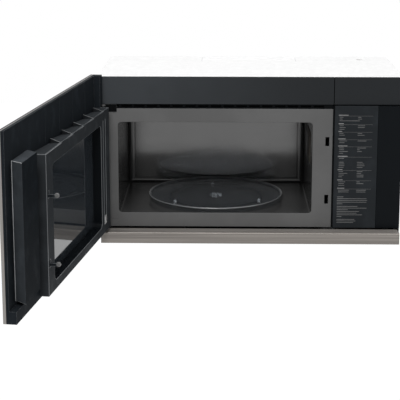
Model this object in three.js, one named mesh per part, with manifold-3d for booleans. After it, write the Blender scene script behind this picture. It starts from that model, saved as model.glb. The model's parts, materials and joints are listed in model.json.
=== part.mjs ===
// Over-the-range microwave oven with its door standing open.
// Millimetres, +Z up, the front faces -Y. The origin is the middle of the rear wall face.
import * as THREE from 'three';
import { mergeVertices } from 'three/addons/utils/BufferGeometryUtils.js';
import Module from 'manifold-3d';

const wasm = await Module();
wasm.setup();

// ---- Driving dimensions: cabinet ----
const cabinetWidth = 759;
const cabinetHeight = 417;
const cabinetDepth = 379; // rear wall face to the front of the face frame
const sheet = 1.2; // steel sheet of the wrap, base and liner
const rearSheet = 1.5;
const seat = 0.3; // gap kept between two pieces that rest on each other
const overcut = 1; // how far a cutting tool runs past the face it opens
const frameSheet = 2; // face frame and fascia plate
const controlWidth = 171.5; // right side of the cabinet to the line where the control side starts
const fasciaHeight = 69.5;
const fasciaReturn = 14; // how far the fascia flanges run back
const fasciaSeam = 1.6;
const airSlotHeight = 11; // face frame's top edge to the fascia
const railSetback = 3;
const railDepth = 10;
const frameLift = 1.6; // face frame's lower edge above the strip
const frameShort = 2; // face frame's right edge to the control side line
const anchorCount = 4;
const anchorSpacing = 200;
const anchorRadius = 4;
const anchorDrop = 40; // anchor holes below the cabinet's top

// ---- Driving dimensions: cavity ----
const cavitySide = 47.5; // cabinet's left side to the cavity
const ventSpace = 112; // cavity's ceiling to the cabinet's top
const cavityFloor = 64; // height of the cavity floor above the cabinet's bottom edge
const cavityRear = 12; // rear wall face to the liner's back wall
const cavityInset = 52; // cavity's right wall to the control side line
const sillHeight = 4.5; // face frame above the cavity floor at the mouth
const lintelDrop = 3; // face frame below the cavity ceiling at the mouth
const openingRadius = 9;

// ---- Driving dimensions: control side ----
const panelGap = 2; // control side line to the guide panel
const guideWidth = 108;
const panelProud = 7; // front of the panels, forward of the face frame
const panelDrop = 2.5; // panels below the fascia
const panelLift = 1.9; // panels above the strip
const panelWall = 2.2;

// ---- Driving dimensions: bottom strip and door ----
const doorSideGap = 6; // side of the cabinet to the door's end
const doorRise = 5.6; // door's top edge above the cabinet's
const doorGap = 3; // strip to the door's bottom edge
const doorThickness = 28;
const doorSetForward = 21.5; // face frame to the door's rear plane
const stripHeight = 30.6;
const stripWall = 1.5;
const stripLedge = 40; // depth of the strip's top ledge
const stripFlange = 16;
const doorOpenAngle = 97.92; // degrees from closed, as the door stands

const glassThickness = 3.5;
const trimThickness = 2.6;
const trimEdge = 1.5; // trim beside the glass at the latch end
const trimBand = 14; // trim band behind the glass
const trimSill = 5;
const mouldingThickness = 6.4;
const lipHeight = 26;
const lipWall = 2.2;
const endCapWidth = 23;
const chokeInset = 12.5; // door's hinge end to the choke frame
const chokeShort = 1.6; // choke frame's latch side to the control side line
const chokeLift = 6.9; // choke frame above the strip
const chokeDrop = 4.5; // choke frame below the fascia
const chokeGap = 2; // closed choke frame to the face frame
const chokeWall = 2.5;
const chokeFace = 3; // thickness of the choke frame's face
const windowHingeBorder = 85;
const windowLatchBorder = 48.4;
const windowBottomBorder = 20.5;
const windowTopBorder = 30;
const windowRadius = 14;
const paneThickness = 3;
const paneOverlap = 8;
const screenThickness = 0.8;
const screenSideMargin = 30; // screen past the window at the sides
const screenBottomMargin = 15;
const screenTopMargin = 40;
const finHeight = 2.6;
const finThickness = 1.6;
const finInset = 124.4; // choke frame's latch side to the first fin
const finSpacing = 97;
const finEnd = 37; // last fin's foot kept this far from the choke frame's hinge end
const finLean = 36; // how far a fin leans along the door over its length

const housingOffset = 16; // control side line to the foot of the touch housing
const housingFootWidth = 107;
const housingFaceWidth = 104;
const housingLean = 22; // how far the housing's face stands off sideways from its foot
const housingLift = 34.9; // above the door's bottom edge
const housingDrop = 66.6; // below the door's top edge
const housingGap = 2; // closed housing to the control side panels
const housingWall = 2.4;
const boardThickness = 1.6;
const boardMargin = 12;
const boardEnd = 20; // touch board short of the housing at each end
const boardStandoff = 5;
const postRadius = 4;

// ---- Driving dimensions: hinge and latch ----
const hingeInset = 7.75; // door's hinge end to the hinge axis
const hingeForward = 17; // face frame to the hinge axis
const pinRadius = 2;
const boreClearance = 0.3;
const tongueThickness = 3;
const tongueRadius = 3.55;
const tongueOffset = 0.65;
const earHeight = 5.6;
const earRadius = 4.2;
const bracketSheet = 1.3;
const bracketWidth = 42;
const bracketHeight = 19;
const bracketEdge = 3; // bracket past its tongue
const upperTongueDrop = 6.5; // upper tongue below the fascia
const lowerTongueLift = 5.4; // lower tongue above the strip
const slotInset = 15; // latch slots to the control side line
const slotWidth = 9.4;
const slotHeight = 22.8;
const upperSlotDrop = 51.4; // below the cavity's ceiling
const lowerSlotRise = 41; // above the cavity's floor
const hookWidth = 6;
const hookHeight = 9;
const hookReach = 23; // choke frame face to the hook's tip
const hookBarb = 2.5;
const hookClearance = 1.2;
const latchTravel = 4;
const latchBarDepth = 5;
const latchBarWidth = 12;
const latchBarEnd = 20; // bar past the middle of each hook

// ---- Driving dimensions: turntable ----
const turntableSetback = 179; // face frame to the turntable's axis
const trayRadius = 178;
const trayThickness = 3.4;
const trayRim = 4;
const wheelRadius = 5;
const wheelWidth = 6;
const wheelTrack = 128;
const wheelAxle = 1.6;
const wheelCount = 3;
const wheelFirstAngle = 94; // degrees, seen from above
const ringWidth = 5;
const ringThickness = 3;
const couplerReach = 16;
const couplerArm = 4; // width of a coupler arm
const couplerHub = 6;
const shaftRadius = 3.5;
const shaftDepth = 9; // shaft inside the motor
const shaftHoleClearance = 2.5;
const motorRadius = 25;
const motorHeight = 17;
const motorLug = { reach: 9, width: 14, thickness: 1.2 };
const lugRadius = 2.6;

// ---- Driving dimensions: inner works ----
const gland = { inset: 79.5, setback: 60, radius: 9, flange: 13, rise: 4, neck: 8, bore: 4.5 };
const guide = { setback: 79, width: 100, rise: 116, height: 82, depth: 42, wall: 1.5, portMargin: 12 };
const lamp = { setback: 110, drop: 35, size: 32, depth: 30, wall: 2, holeRadius: 3, holeSpacing: 12 };
const magnetron = {
  width: 78, height: 72, depth: 62, antennaRadius: 12, antennaLength: 24, portClearance: 4,
};
const magnetronFins = { count: 5, first: 10, pitch: 8, gap: 4, low: 12, high: 34 };
const transformer = {
  wallGap: 38, width: 108, depth: 82, height: 86, filterGap: 13, step: 12, coilInset: 18,
};
const transformerFoot = { reach: 8, inset: 6, thickness: 2, coilLift: 14 };
const capacitor = { gap: 10, width: 42, depth: 80, height: 60, radius: 16 };
const capacitorTab = { spacing: 20, width: 6, thickness: 2, height: 9 };
const board = { setback: 10, margin: 12, low: 120, high: 300, postInset: 8 };
const relay = { count: 4, first: 12, pitch: 32, width: 20, depth: 18, low: 12, height: 18 };
const heatSink = { first: 28, width: 60, depth: 24, low: 80, height: 50 };
const switchBody = { width: 10, setback: 14, depth: 28, height: 16 };
const switchTab = { inset: 3, width: 4, depth: 8, height: 4 };
const latchHolder = {
  leftWall: 7, rightWall: 5, depth: 50, end: 30, pocket: 40, reliefWall: 3, reliefFront: 12, reliefEnd: 40,
};
const fanRadius = 52;
const fanDepth = 34;
const fanInset = 93; // right wall of the cabinet to the fan's axis
const fanDrop = 40; // below the cavity's ceiling
const fanBladeCount = 5;
const fanMargin = 8;
const fanThroat = 3; // throat past the blades
const fanMotor = { radius: 16, depth: 11, gap: 1 };
const fanHub = { radius: 13, depth: 16 };
const fanBlade = { root: 8, thickness: 2, chord: 22, pitch: 36, setback: 9 };
const blowerRadius = 42;
const blowerWidth = 74;
const blowerSpacing = 96; // cabinet centre to the middle of each blower wheel
const blowerSetback = 62; // rear wall face to the blower's axis
const blowerWall = 1.5;
const blowerSide = 5; // wheel to the outside of its housing
const blowerReach = 9; // wheel to the housing's front and back
const blowerScroll = 4; // wheel to the scroll
const blowerInletRadius = 26;
const blowerOutletDepth = 60;
const blowerBladeCount = 16;
const blowerRim = 5; // thickness of the wheel's wall and of its end rings
const blowerSlot = 5;
const blowerShaftRadius = 4;
const blowerShaftEnd = 12; // shaft past the middle of each wheel
const blowerMotorRadius = 30;
const blowerMotorGap = 8;
const cradle = { inset: 6, depth: 48, drop: 12 };
const outletWidth = 254;
const outletDepth = 76;
const filterMiddle = 37; // cabinet's centre to each grease filter
const filterSide = 52.5; // cabinet's side to the filter
const filterDepth = 130;
const filterThickness = 8;
const filterSetback = 170; // rear wall face to the middle of the filters
const filterTravel = 10;
const filterRest = 8; // base plate under the filter's long edges
const filterHold = 2; // base plate still under the ends at the end of the travel
const filterTab = { width: 24, depth: 16, hang: 3 };
const lensWidth = 90;
const lensDepth = 55;
const lensThickness = 4;
const lensRest = 5;
const lensInset = 259.5; // cabinet's side to the middle of each lens
const lensSetForward = 39; // middle of the lenses to the face frame
const charcoal = { leftInset: 32, rightInset: 36, front: 40, depth: 140, height: 14 };

// ---- Stations worked out from the driving dimensions ----
const halfWidth = cabinetWidth / 2;
const insideX = halfWidth - sheet - seat;
const insideTop = cabinetHeight - sheet - seat;
const controlX = halfWidth - controlWidth;
const faceY = -cabinetDepth;
const frameBackY = faceY + frameSheet;
const panelY = faceY - panelProud;
const doorRearY = faceY - doorSetForward;
const doorFrontY = doorRearY - doorThickness;
const glassRearY = doorFrontY + glassThickness;
const trimFrontY = glassRearY + seat;
const trimRearY = trimFrontY + trimThickness;
const mouldingFrontY = trimRearY + seat;
const mouldingRearY = mouldingFrontY + mouldingThickness;
const chokeFaceY = faceY - chokeGap;
const chokeBackY = mouldingRearY + seat;
const housingFaceY = panelY - housingGap;
const hingeY = faceY - hingeForward;
const baseZ = stripWall + seat;
const baseTop = baseZ + sheet;
const fasciaBottom = cabinetHeight - fasciaHeight;
const frameTop = fasciaBottom - airSlotHeight;
const frameBottom = stripHeight + frameLift;
const frameRight = controlX - frameShort;
const panelLeft = controlX + panelGap;
const panelSplitX = panelLeft + guideWidth;
const panelTop = fasciaBottom - panelDrop;
const panelBottom = stripHeight + panelLift;
const cavityRight = controlX - cavityInset;
const cavityLeft = -halfWidth + cavitySide;
const cavityCentreX = (cavityLeft + cavityRight) / 2;
const cavityCeiling = cabinetHeight - ventSpace;
const aboveCavity = cavityCeiling + sheet + seat;
const openingBottom = cavityFloor + sillHeight;
const openingTop = cavityCeiling - lintelDrop;
const linerFrontY = frameBackY + seat;
const linerBackY = -cavityRear;
const doorLeft = -halfWidth + doorSideGap;
const doorRight = halfWidth - doorSideGap;
const doorBottom = stripHeight + doorGap;
const doorTop = cabinetHeight + doorRise;
const chokeLeft = doorLeft + chokeInset;
const chokeRight = controlX - chokeShort;
const chokeBottom = stripHeight + chokeLift;
const chokeTop = fasciaBottom - chokeDrop;
const windowLeft = chokeLeft + windowHingeBorder;
const windowRight = chokeRight - windowLatchBorder;
const windowBottom = chokeBottom + windowBottomBorder;
const windowTop = chokeTop - windowTopBorder;
const housingFootLeft = controlX + housingOffset;
const housingFootRight = housingFootLeft + housingFootWidth;
const housingFaceLeft = housingFootLeft + housingLean;
const housingFaceRight = housingFaceLeft + housingFaceWidth;
const housingBottom = doorBottom + housingLift;
const housingTop = doorTop - housingDrop;
const hingeX = doorLeft + hingeInset;
const upperTongueZ = fasciaBottom - upperTongueDrop;
const lowerTongueZ = stripHeight + lowerTongueLift;
const slotX = controlX - slotInset;
const slotLeft = slotX - slotWidth / 2;
const slotRight = slotX + slotWidth / 2;
const upperSlotZ = cavityCeiling - upperSlotDrop;
const lowerSlotZ = cavityFloor + lowerSlotRise;
const turntableY = faceY + turntableSetback;
const trayBottom = cavityFloor + 2 * wheelRadius + 2 * seat;
const wheelZ = cavityFloor + wheelRadius + seat;
const motorTop = cavityFloor - sheet - seat;
const outerWallX = cavityRight + sheet + seat; // outside of the cavity's right wall
const guideY = faceY + guide.setback + guide.width / 2;
const guideZ = cavityFloor + guide.rise + guide.height / 2;
const magnetronX = outerWallX + guide.depth + seat;
const lampY = -lamp.setback;
const lampZ = cavityCeiling - lamp.drop;
const glandX = halfWidth - gland.inset;
const glandY = -gland.setback;
const filterWidth = halfWidth - filterSide - filterMiddle;
const filterX = filterMiddle + filterWidth / 2;
const filterY = -filterSetback;
const lensX = halfWidth - lensInset;
const lensY = faceY + lensSetForward;
const transformerRight = insideX - transformer.wallGap;
const transformerLeft = transformerRight - transformer.width;
const transformerBackY = filterY - filterDepth / 2 - transformer.filterGap;
const switchX = slotRight + latchHolder.rightWall + seat;
const fanX = insideX - fanInset;
const fanZ = cavityCeiling - fanDrop;
const fanBackY = -rearSheet - seat;
const blowerY = -blowerSetback;
const blowerZ = (cavityCeiling + cabinetHeight) / 2;

// ---- Materials ----
function paint(colour, roughness, metalness) {
  return new THREE.MeshStandardMaterial({ color: colour, roughness, metalness });
}
const finishes = {
  wrap: () => paint(0xdbdee0, 0.4, 0.8),
  base: () => paint(0x4d4d4f, 0.55, 0.3),
  zinc: () => paint(0xa6a8aa, 0.45, 0.8),
  frame: () => paint(0x58585a, 0.5, 0.4),
  fascia: () => paint(0x35363b, 0.45, 0.5),
  panel: () => paint(0x282a2e, 0.5, 0.0),
  panelGloss: () => paint(0x191a1e, 0.2, 0.0),
  strip: () => paint(0x78726c, 0.35, 0.9),
  cavity: () => paint(0x4a4a4a, 0.35, 0.7),
  plastic: () => paint(0x16171a, 0.5, 0.0),
  glass: () => paint(0x0c0d0f, 0.08, 0.0),
  clearGlass: () => paint(0xcfd6d4, 0.05, 0.0),
  trim: () => paint(0xa5a098, 0.3, 0.9),
  copper: () => paint(0x9a5a34, 0.4, 0.7),
  board: () => paint(0x2c5c3c, 0.6, 0.0),
  white: () => paint(0xd8d8d4, 0.6, 0.0),
  mesh: () => paint(0x8d8f90, 0.4, 0.8),
  mica: () => paint(0xb7a98c, 0.7, 0.0),
};

// ---- Geometry helpers ----
function block(x0, x1, y0, y1, z0, z1) {
  const box = new THREE.BoxGeometry(x1 - x0, y1 - y0, z1 - z0);
  return box.translate((x0 + x1) / 2, (y0 + y1) / 2, (z0 + z1) / 2);
}

// A block centred on a place in X and Y, between two heights.
function pillar(x, y, width, depth, z0, z1) {
  return block(x - width / 2, x + width / 2, y - depth / 2, y + depth / 2, z0, z1);
}

// A block centred on a place in Y and Z, between two places along X.
function sideBlock(x0, x1, y, z, width, height) {
  return block(x0, x1, y - width / 2, y + width / 2, z - height / 2, z + height / 2);
}

function rodZ(radius, x, y, z0, z1, sides = 20) {
  const rod = new THREE.CylinderGeometry(radius, radius, z1 - z0, sides).rotateX(Math.PI / 2);
  return rod.translate(x, y, (z0 + z1) / 2);
}

function rodX(radius, x0, x1, y, z, sides = 24) {
  const rod = new THREE.CylinderGeometry(radius, radius, x1 - x0, sides).rotateZ(Math.PI / 2);
  return rod.translate((x0 + x1) / 2, y, z);
}

function rodY(radius, x, y0, y1, z, sides = 24) {
  const rod = new THREE.CylinderGeometry(radius, radius, y1 - y0, sides);
  return rod.translate(x, (y0 + y1) / 2, z);
}

function roundedOutline(x0, x1, z0, z1, radius) {
  const outline = new THREE.Shape();
  outline.moveTo(x0 + radius, z0);
  outline.absarc(x1 - radius, z0 + radius, radius, -Math.PI / 2, 0, false);
  outline.absarc(x1 - radius, z1 - radius, radius, 0, Math.PI / 2, false);
  outline.absarc(x0 + radius, z1 - radius, radius, Math.PI / 2, Math.PI, false);
  outline.absarc(x0 + radius, z0 + radius, radius, Math.PI, 1.5 * Math.PI, false);
  return outline;
}

// An outline in X and Z, made into a plate between two depths.
function plateY(outline, y0, y1, curveSegments = 4) {
  const settings = { depth: y1 - y0, bevelEnabled: false, curveSegments };
  return new THREE.ExtrudeGeometry(outline, settings).rotateX(Math.PI / 2).translate(0, y1, 0);
}

// An outline in X and Y, made into a plate between two heights.
function plateZ(outline, z0, z1, curveSegments = 4) {
  const settings = { depth: z1 - z0, bevelEnabled: false, curveSegments };
  return new THREE.ExtrudeGeometry(outline, settings).translate(0, 0, z0);
}

// An outline in Y and Z, made into a bar between two places along X.
function barX(points, x0, x1) {
  const outline = new THREE.Shape(points.map(([y, z]) => new THREE.Vector2(y, z)));
  const bar = new THREE.ExtrudeGeometry(outline, { depth: x1 - x0, bevelEnabled: false });
  const axes = new THREE.Matrix4().makeBasis(
    new THREE.Vector3(0, 1, 0), new THREE.Vector3(0, 0, 1), new THREE.Vector3(1, 0, 0));
  return bar.applyMatrix4(axes).translate(x0, 0, 0);
}

// A closed profile of radii and heights, turned about the Y axis.
function lathe(profile, sides) {
  return new THREE.LatheGeometry(profile.map(([radius, y]) => new THREE.Vector2(radius, y)), sides);
}

function polygon(points) {
  return new THREE.Shape(points.map(([x, y]) => new THREE.Vector2(x, y)));
}

function toSolid(geometry) {
  if (geometry instanceof wasm.Manifold) return geometry;
  const bare = geometry.clone();
  bare.deleteAttribute('normal');
  bare.deleteAttribute('uv');
  const merged = mergeVertices(bare, 1e-4);
  const vertProperties = new Float32Array(merged.attributes.position.array);
  const triVerts = new Uint32Array(merged.index.array);
  return new wasm.Manifold(new wasm.Mesh({ numProp: 3, vertProperties, triVerts }));
}

function toGeometry(solid) {
  if (!(solid instanceof wasm.Manifold)) return solid;
  const mesh = solid.getMesh();
  const geometry = new THREE.BufferGeometry();
  geometry.setAttribute('position', new THREE.BufferAttribute(mesh.vertProperties, 3));
  geometry.setIndex(new THREE.BufferAttribute(mesh.triVerts, 1));
  geometry.computeVertexNormals();
  return geometry;
}

function join(...pieces) {
  return pieces.map(toSolid).reduce((whole, piece) => whole.add(piece));
}

function cut(body, ...tools) {
  return tools.map(toSolid).reduce((whole, tool) => whole.subtract(tool), toSolid(body));
}

function addPiece(group, name, geometry, finish) {
  const mesh = new THREE.Mesh(toGeometry(geometry), finish());
  mesh.name = name;
  group.add(mesh);
  return mesh;
}

// ---- Cabinet ----
function addCabinet(group) {
  addPiece(group, 'cabinet_wrap', wrapSolid(), finishes.wrap);
  addPiece(group, 'rear_plate', rearPlateSolid(), finishes.zinc);
  addPiece(group, 'base_plate', baseSolid(), finishes.base);
  addPiece(group, 'face_frame', faceFrameSolid(), finishes.frame);
  addPiece(group, 'air_slot_rail', airSlotRail(), finishes.plastic);
  addPiece(group, 'fascia_left', fascia(-halfWidth, controlX - fasciaSeam / 2), finishes.fascia);
  addPiece(group, 'fascia_right', fascia(controlX + fasciaSeam / 2, halfWidth), finishes.fascia);
  addPiece(group, 'guide_panel', sidePanel(panelLeft, panelSplitX - seat), finishes.panel);
  addPiece(group, 'dark_panel', sidePanel(panelSplitX, insideX), finishes.panelGloss);
  addPiece(group, 'bottom_strip', stripSolid(), finishes.strip);
}

function wrapSolid() {
  const frontY = frameBackY + seat;
  const innerTop = cabinetHeight - sheet;
  const shell = cut(
    block(-halfWidth, halfWidth, frontY, 0, 0, cabinetHeight),
    block(-halfWidth + sheet, halfWidth - sheet, frontY - overcut, overcut, -overcut, innerTop));
  const outlet = pillar(0, blowerY, outletWidth, outletDepth, innerTop - overcut, cabinetHeight + overcut);
  const glandHole = rodZ(gland.radius + seat, glandX, glandY, innerTop - overcut, cabinetHeight + overcut);
  return cut(shell, outlet, glandHole);
}

function rearPlateSolid() {
  const plate = block(-insideX, insideX, -rearSheet, 0, baseTop + seat, insideTop);
  const anchorZ = cabinetHeight - anchorDrop;
  const anchors = Array.from({ length: anchorCount }, (_, index) => {
    const x = (index - (anchorCount - 1) / 2) * anchorSpacing;
    return rodY(anchorRadius, x, -rearSheet - overcut, overcut, anchorZ, 12);
  });
  return cut(plate, ...anchors);
}

function baseSolid() {
  const inner = doorRight - stripWall - seat;
  const stripInsideY = doorFrontY + stripWall + seat;
  const rear = -rearSheet - seat;
  const outline = polygon([
    [-insideX, rear], [-insideX, faceY], [-inner, faceY], [-inner, stripInsideY],
    [inner, stripInsideY], [inner, faceY], [insideX, faceY], [insideX, rear]]);
  const ends = filterTravel + filterHold;
  const window = (x, y, width, depth) => pillar(x, y, width, depth, baseZ - overcut, baseTop + overcut);
  const windows = [-1, 1].flatMap((side) => [
    window(side * filterX, filterY, filterWidth - 2 * ends, filterDepth - 2 * filterRest),
    window(side * lensX, lensY, lensWidth - 2 * lensRest, lensDepth - 2 * lensRest)]);
  return cut(plateZ(outline, baseZ, baseTop), ...windows);
}

// The space of a latch slot at a height, from in front of the face frame back to a depth.
function slotSpace(z, back) {
  return block(slotLeft, slotRight, faceY - overcut, back, z - slotHeight / 2, z + slotHeight / 2);
}

function faceFrameSolid() {
  const plate = block(-insideX, frameRight, faceY, frameBackY, frameBottom, frameTop);
  const mouthOutline = roundedOutline(cavityLeft, cavityRight, openingBottom, openingTop, openingRadius);
  const mouth = plateY(mouthOutline, faceY - overcut, frameBackY + overcut);
  const slots = [upperSlotZ, lowerSlotZ].map((z) => slotSpace(z, frameBackY + overcut));
  return cut(plate, mouth, ...slots);
}

function airSlotRail() {
  const front = faceY + railSetback;
  const back = front + railDepth;
  const rail = block(-insideX, frameRight, front, back, frameTop + seat, fasciaBottom - seat);
  const foot = block(-insideX, frameRight, frameBackY + seat, back, aboveCavity + seat, frameTop + overcut);
  return join(rail, foot);
}

function fascia(x0, x1) {
  const back = faceY + fasciaReturn;
  const profile = [
    [faceY, fasciaBottom], [back, fasciaBottom], [back, fasciaBottom + frameSheet],
    [frameBackY, fasciaBottom + frameSheet], [frameBackY, insideTop - frameSheet],
    [back, insideTop - frameSheet], [back, insideTop], [frameBackY, insideTop], [frameBackY, cabinetHeight],
    [faceY, cabinetHeight]];
  const wallPocket = (low, high) => block(low, high, frameBackY, back + overcut,
    fasciaBottom - overcut, cabinetHeight + overcut);
  return cut(barX(profile, x0, x1),
    wallPocket(-halfWidth - overcut, -insideX), wallPocket(insideX, halfWidth + overcut));
}

function sidePanel(x0, x1) {
  const back = frameBackY;
  return cut(
    block(x0, x1, panelY, back, panelBottom, panelTop),
    block(x0 + panelWall, x1 - panelWall, panelY + panelWall, back + overcut,
      panelBottom + panelWall, panelTop - panelWall));
}

function stripSolid() {
  const back = doorFrontY + stripLedge;
  const profile = [
    [doorFrontY, 0], [doorFrontY + stripFlange, 0], [doorFrontY + stripFlange, stripWall],
    [doorFrontY + stripWall, stripWall], [doorFrontY + stripWall, stripHeight - stripWall],
    [back, stripHeight - stripWall], [back, stripHeight], [doorFrontY, stripHeight]];
  return barX(profile, doorLeft, doorRight);
}

// ---- Cavity ----
function addCavity(group) {
  addPiece(group, 'cavity_liner', linerSolid(), finishes.cavity);
  addPiece(group, 'waveguide_cover', waveguideCover(), finishes.mica);
  addPiece(group, 'waveguide', waveguideSolid(), finishes.zinc);
  addPiece(group, 'cavity_lamp', cavityLamp(), finishes.white);
}

function linerSolid() {
  const shell = cut(
    block(cavityLeft - sheet, cavityRight + sheet, linerFrontY, linerBackY + sheet,
      cavityFloor - sheet, cavityCeiling + sheet),
    block(cavityLeft, cavityRight, linerFrontY - overcut, linerBackY, cavityFloor, cavityCeiling));
  const shaftHole = rodZ(shaftRadius + shaftHoleClearance, cavityCentreX, turntableY,
    cavityFloor - sheet - overcut, cavityFloor + overcut, 16);
  const wallStart = cavityRight - overcut;
  const wallEnd = cavityRight + sheet + overcut;
  const port = sideBlock(wallStart, wallEnd, guideY, guideZ,
    guide.width - 2 * guide.portMargin, guide.height - 2 * guide.portMargin);
  const lampHoles = [-1, 0, 1].map((place) =>
    rodX(lamp.holeRadius, wallStart, wallEnd, lampY + place * lamp.holeSpacing, lampZ, 10));
  return cut(shell, shaftHole, port, ...lampHoles);
}

function waveguideCover() {
  return sideBlock(cavityRight - seat - 1, cavityRight - seat, guideY, guideZ, guide.width, guide.height);
}

function waveguideSolid() {
  const end = outerWallX + guide.depth;
  const duct = cut(
    sideBlock(outerWallX, end, guideY, guideZ, guide.width, guide.height),
    sideBlock(outerWallX - overcut, end - guide.wall, guideY, guideZ,
      guide.width - 2 * guide.wall, guide.height - 2 * guide.wall));
  const portRadius = magnetron.antennaRadius + magnetron.portClearance;
  return cut(duct, rodX(portRadius, end - guide.wall - overcut, end + overcut, guideY, guideZ, 16));
}

function cavityLamp() {
  const end = outerWallX + lamp.depth;
  return cut(
    sideBlock(outerWallX, end, lampY, lampZ, lamp.size, lamp.size),
    sideBlock(outerWallX - overcut, end - lamp.wall, lampY, lampZ,
      lamp.size - 2 * lamp.wall, lamp.size - 2 * lamp.wall));
}

// ---- Turntable ----
function addTurntable(group) {
  const axis = new THREE.Group();
  axis.position.set(cavityCentreX, turntableY, 0);
  group.add(axis);
  addPiece(axis, 'turntable_motor', turntableMotor(), finishes.zinc);
  addPiece(axis, 'turntable_coupler', couplerSolid(), finishes.white);
  addPiece(axis, 'roller_ring', rollerRing(), finishes.plastic);
  wheelAngles().forEach((angle, index) => {
    addPiece(axis, `roller_wheel_${index + 1}`, wheelGeometry(angle), finishes.white);
  });
  addPiece(axis, 'glass_tray', traySolid(), finishes.clearGlass);
}

function turntableMotor() {
  const body = rodZ(motorRadius, 0, 0, motorTop - motorHeight, motorTop, 24);
  const lugLength = 2 * (motorRadius + motorLug.reach);
  const lugs = pillar(0, 0, lugLength, motorLug.width, motorTop - motorLug.thickness, motorTop);
  const bore = rodZ(shaftRadius + boreClearance, 0, 0, motorTop - shaftDepth - 1, motorTop + overcut, 16);
  return cut(join(body, lugs), bore);
}

function couplerSolid() {
  const top = trayBottom - seat;
  const shaft = rodZ(shaftRadius, 0, 0, motorTop - shaftDepth, cavityFloor + 3, 16);
  const hub = rodZ(couplerHub, 0, 0, cavityFloor + 1.5, top, 16);
  const arms = turns(wheelCount).map((angle) =>
    block(0, couplerReach, -couplerArm / 2, couplerArm / 2, cavityFloor + 4, top).rotateZ(angle));
  return join(shaft, hub, ...arms);
}

// Equal shares of a full turn, in radians, from a first angle in degrees.
function turns(count, first = 0) {
  const places = Array.from({ length: count }, (_, index) => first + (index * 360) / count);
  return places.map(THREE.MathUtils.degToRad);
}

function wheelAngles() {
  return turns(wheelCount, wheelFirstAngle);
}

function rollerRing() {
  const outer = wheelTrack - wheelWidth / 2 - seat;
  const inner = outer - ringWidth;
  const low = wheelZ - ringThickness / 2;
  const high = wheelZ + ringThickness / 2;
  const outline = [[inner, low], [outer, low], [outer, high], [inner, high], [inner, low]];
  const ring = lathe(outline, 48).rotateX(Math.PI / 2);
  const axleEnd = wheelTrack + wheelWidth / 2 + wheelAxle;
  const axles = wheelAngles().map((angle) =>
    rodX(wheelAxle, inner + 1, axleEnd, 0, wheelZ, 10).rotateZ(angle));
  return join(ring, ...axles);
}

function wheelGeometry(angle) {
  const bore = wheelAxle + boreClearance;
  const half = wheelWidth / 2;
  const outline = [[bore, -half], [wheelRadius, -half], [wheelRadius, half], [bore, half], [bore, -half]];
  return lathe(outline, 20).rotateZ(-Math.PI / 2).translate(wheelTrack, 0, wheelZ).rotateZ(angle);
}

function traySolid() {
  const top = trayBottom + trayThickness;
  const outline = [
    [0, trayBottom], [trayRadius - 5, trayBottom], [trayRadius, trayBottom + 2.5],
    [trayRadius, top + trayRim - 1], [trayRadius - 2, top + trayRim], [trayRadius - 6, top + 0.6],
    [trayRadius - 9, top], [0, top]];
  const dish = lathe(outline, 64).rotateX(Math.PI / 2);
  const lugs = turns(wheelCount, 60).map((angle) =>
    rodZ(lugRadius, couplerReach - 3, 0, cavityFloor + 4.5, trayBottom + 1, 10).rotateZ(angle));
  return join(dish, ...lugs);
}

// ---- Inner works of the control side ----
function addInnerWorks(group) {
  addPiece(group, 'magnetron', magnetronSolid(), finishes.zinc);
  addPiece(group, 'transformer', transformerSolid(), finishes.copper);
  addPiece(group, 'capacitor', capacitorSolid(), finishes.zinc);
  addPiece(group, 'power_board', powerBoard(), finishes.board);
  addPiece(group, 'fan_housing', fanHousing(), finishes.plastic);
  addPiece(group, 'fan_blades', fanBlades(), finishes.white);
  addPiece(group, 'latch_board', latchBoard(), finishes.plastic);
  addPiece(group, 'switch_upper', microSwitch(upperSlotZ), finishes.white);
  addPiece(group, 'switch_lower', microSwitch(lowerSlotZ), finishes.white);
  addPiece(group, 'cord_bushing', cordBushing(), finishes.plastic);
}

function magnetronSolid() {
  const { width, height, depth, antennaRadius, antennaLength } = magnetron;
  const body = sideBlock(magnetronX, magnetronX + depth, guideY, guideZ, width, height);
  const half = width / 2 + overcut;
  const gaps = Array.from({ length: magnetronFins.count }, (_, index) => {
    const x = magnetronX + magnetronFins.first + index * magnetronFins.pitch;
    return block(x, x + magnetronFins.gap, guideY - half, guideY + half,
      guideZ + magnetronFins.low, guideZ + magnetronFins.high);
  });
  const antenna = rodX(antennaRadius, magnetronX - antennaLength, magnetronX + 1, guideY, guideZ, 16);
  return join(cut(body, ...gaps), antenna);
}

function transformerSolid() {
  const { depth, height, step, coilInset } = transformer;
  const { reach, inset, thickness, coilLift } = transformerFoot;
  const base = baseTop + seat;
  const front = transformerBackY - depth;
  const back = transformerBackY;
  const core = block(transformerLeft, transformerRight, front + step, back - step, base, base + height);
  const coil = block(transformerLeft + coilInset, transformerRight - coilInset, front, back,
    base + coilLift, base + height - coilLift);
  const feet = block(transformerLeft - reach, transformerRight + reach, front + inset, back - inset,
    base, base + thickness);
  return join(core, coil, feet);
}

function capacitorSolid() {
  const { gap, width, depth, height, radius } = capacitor;
  const base = baseTop + seat;
  const top = base + height;
  const right = transformerLeft - gap;
  const y = transformerBackY - transformer.depth / 2;
  const outline = roundedOutline(right - width, right, y - depth / 2, y + depth / 2, radius);
  const tabs = [-1, 1].map((side) =>
    pillar(right - width / 2, y + (side * capacitorTab.spacing) / 2, capacitorTab.width,
      capacitorTab.thickness, top - 1, top + capacitorTab.height));
  return join(plateZ(outline, base, top, 5), ...tabs);
}

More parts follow.
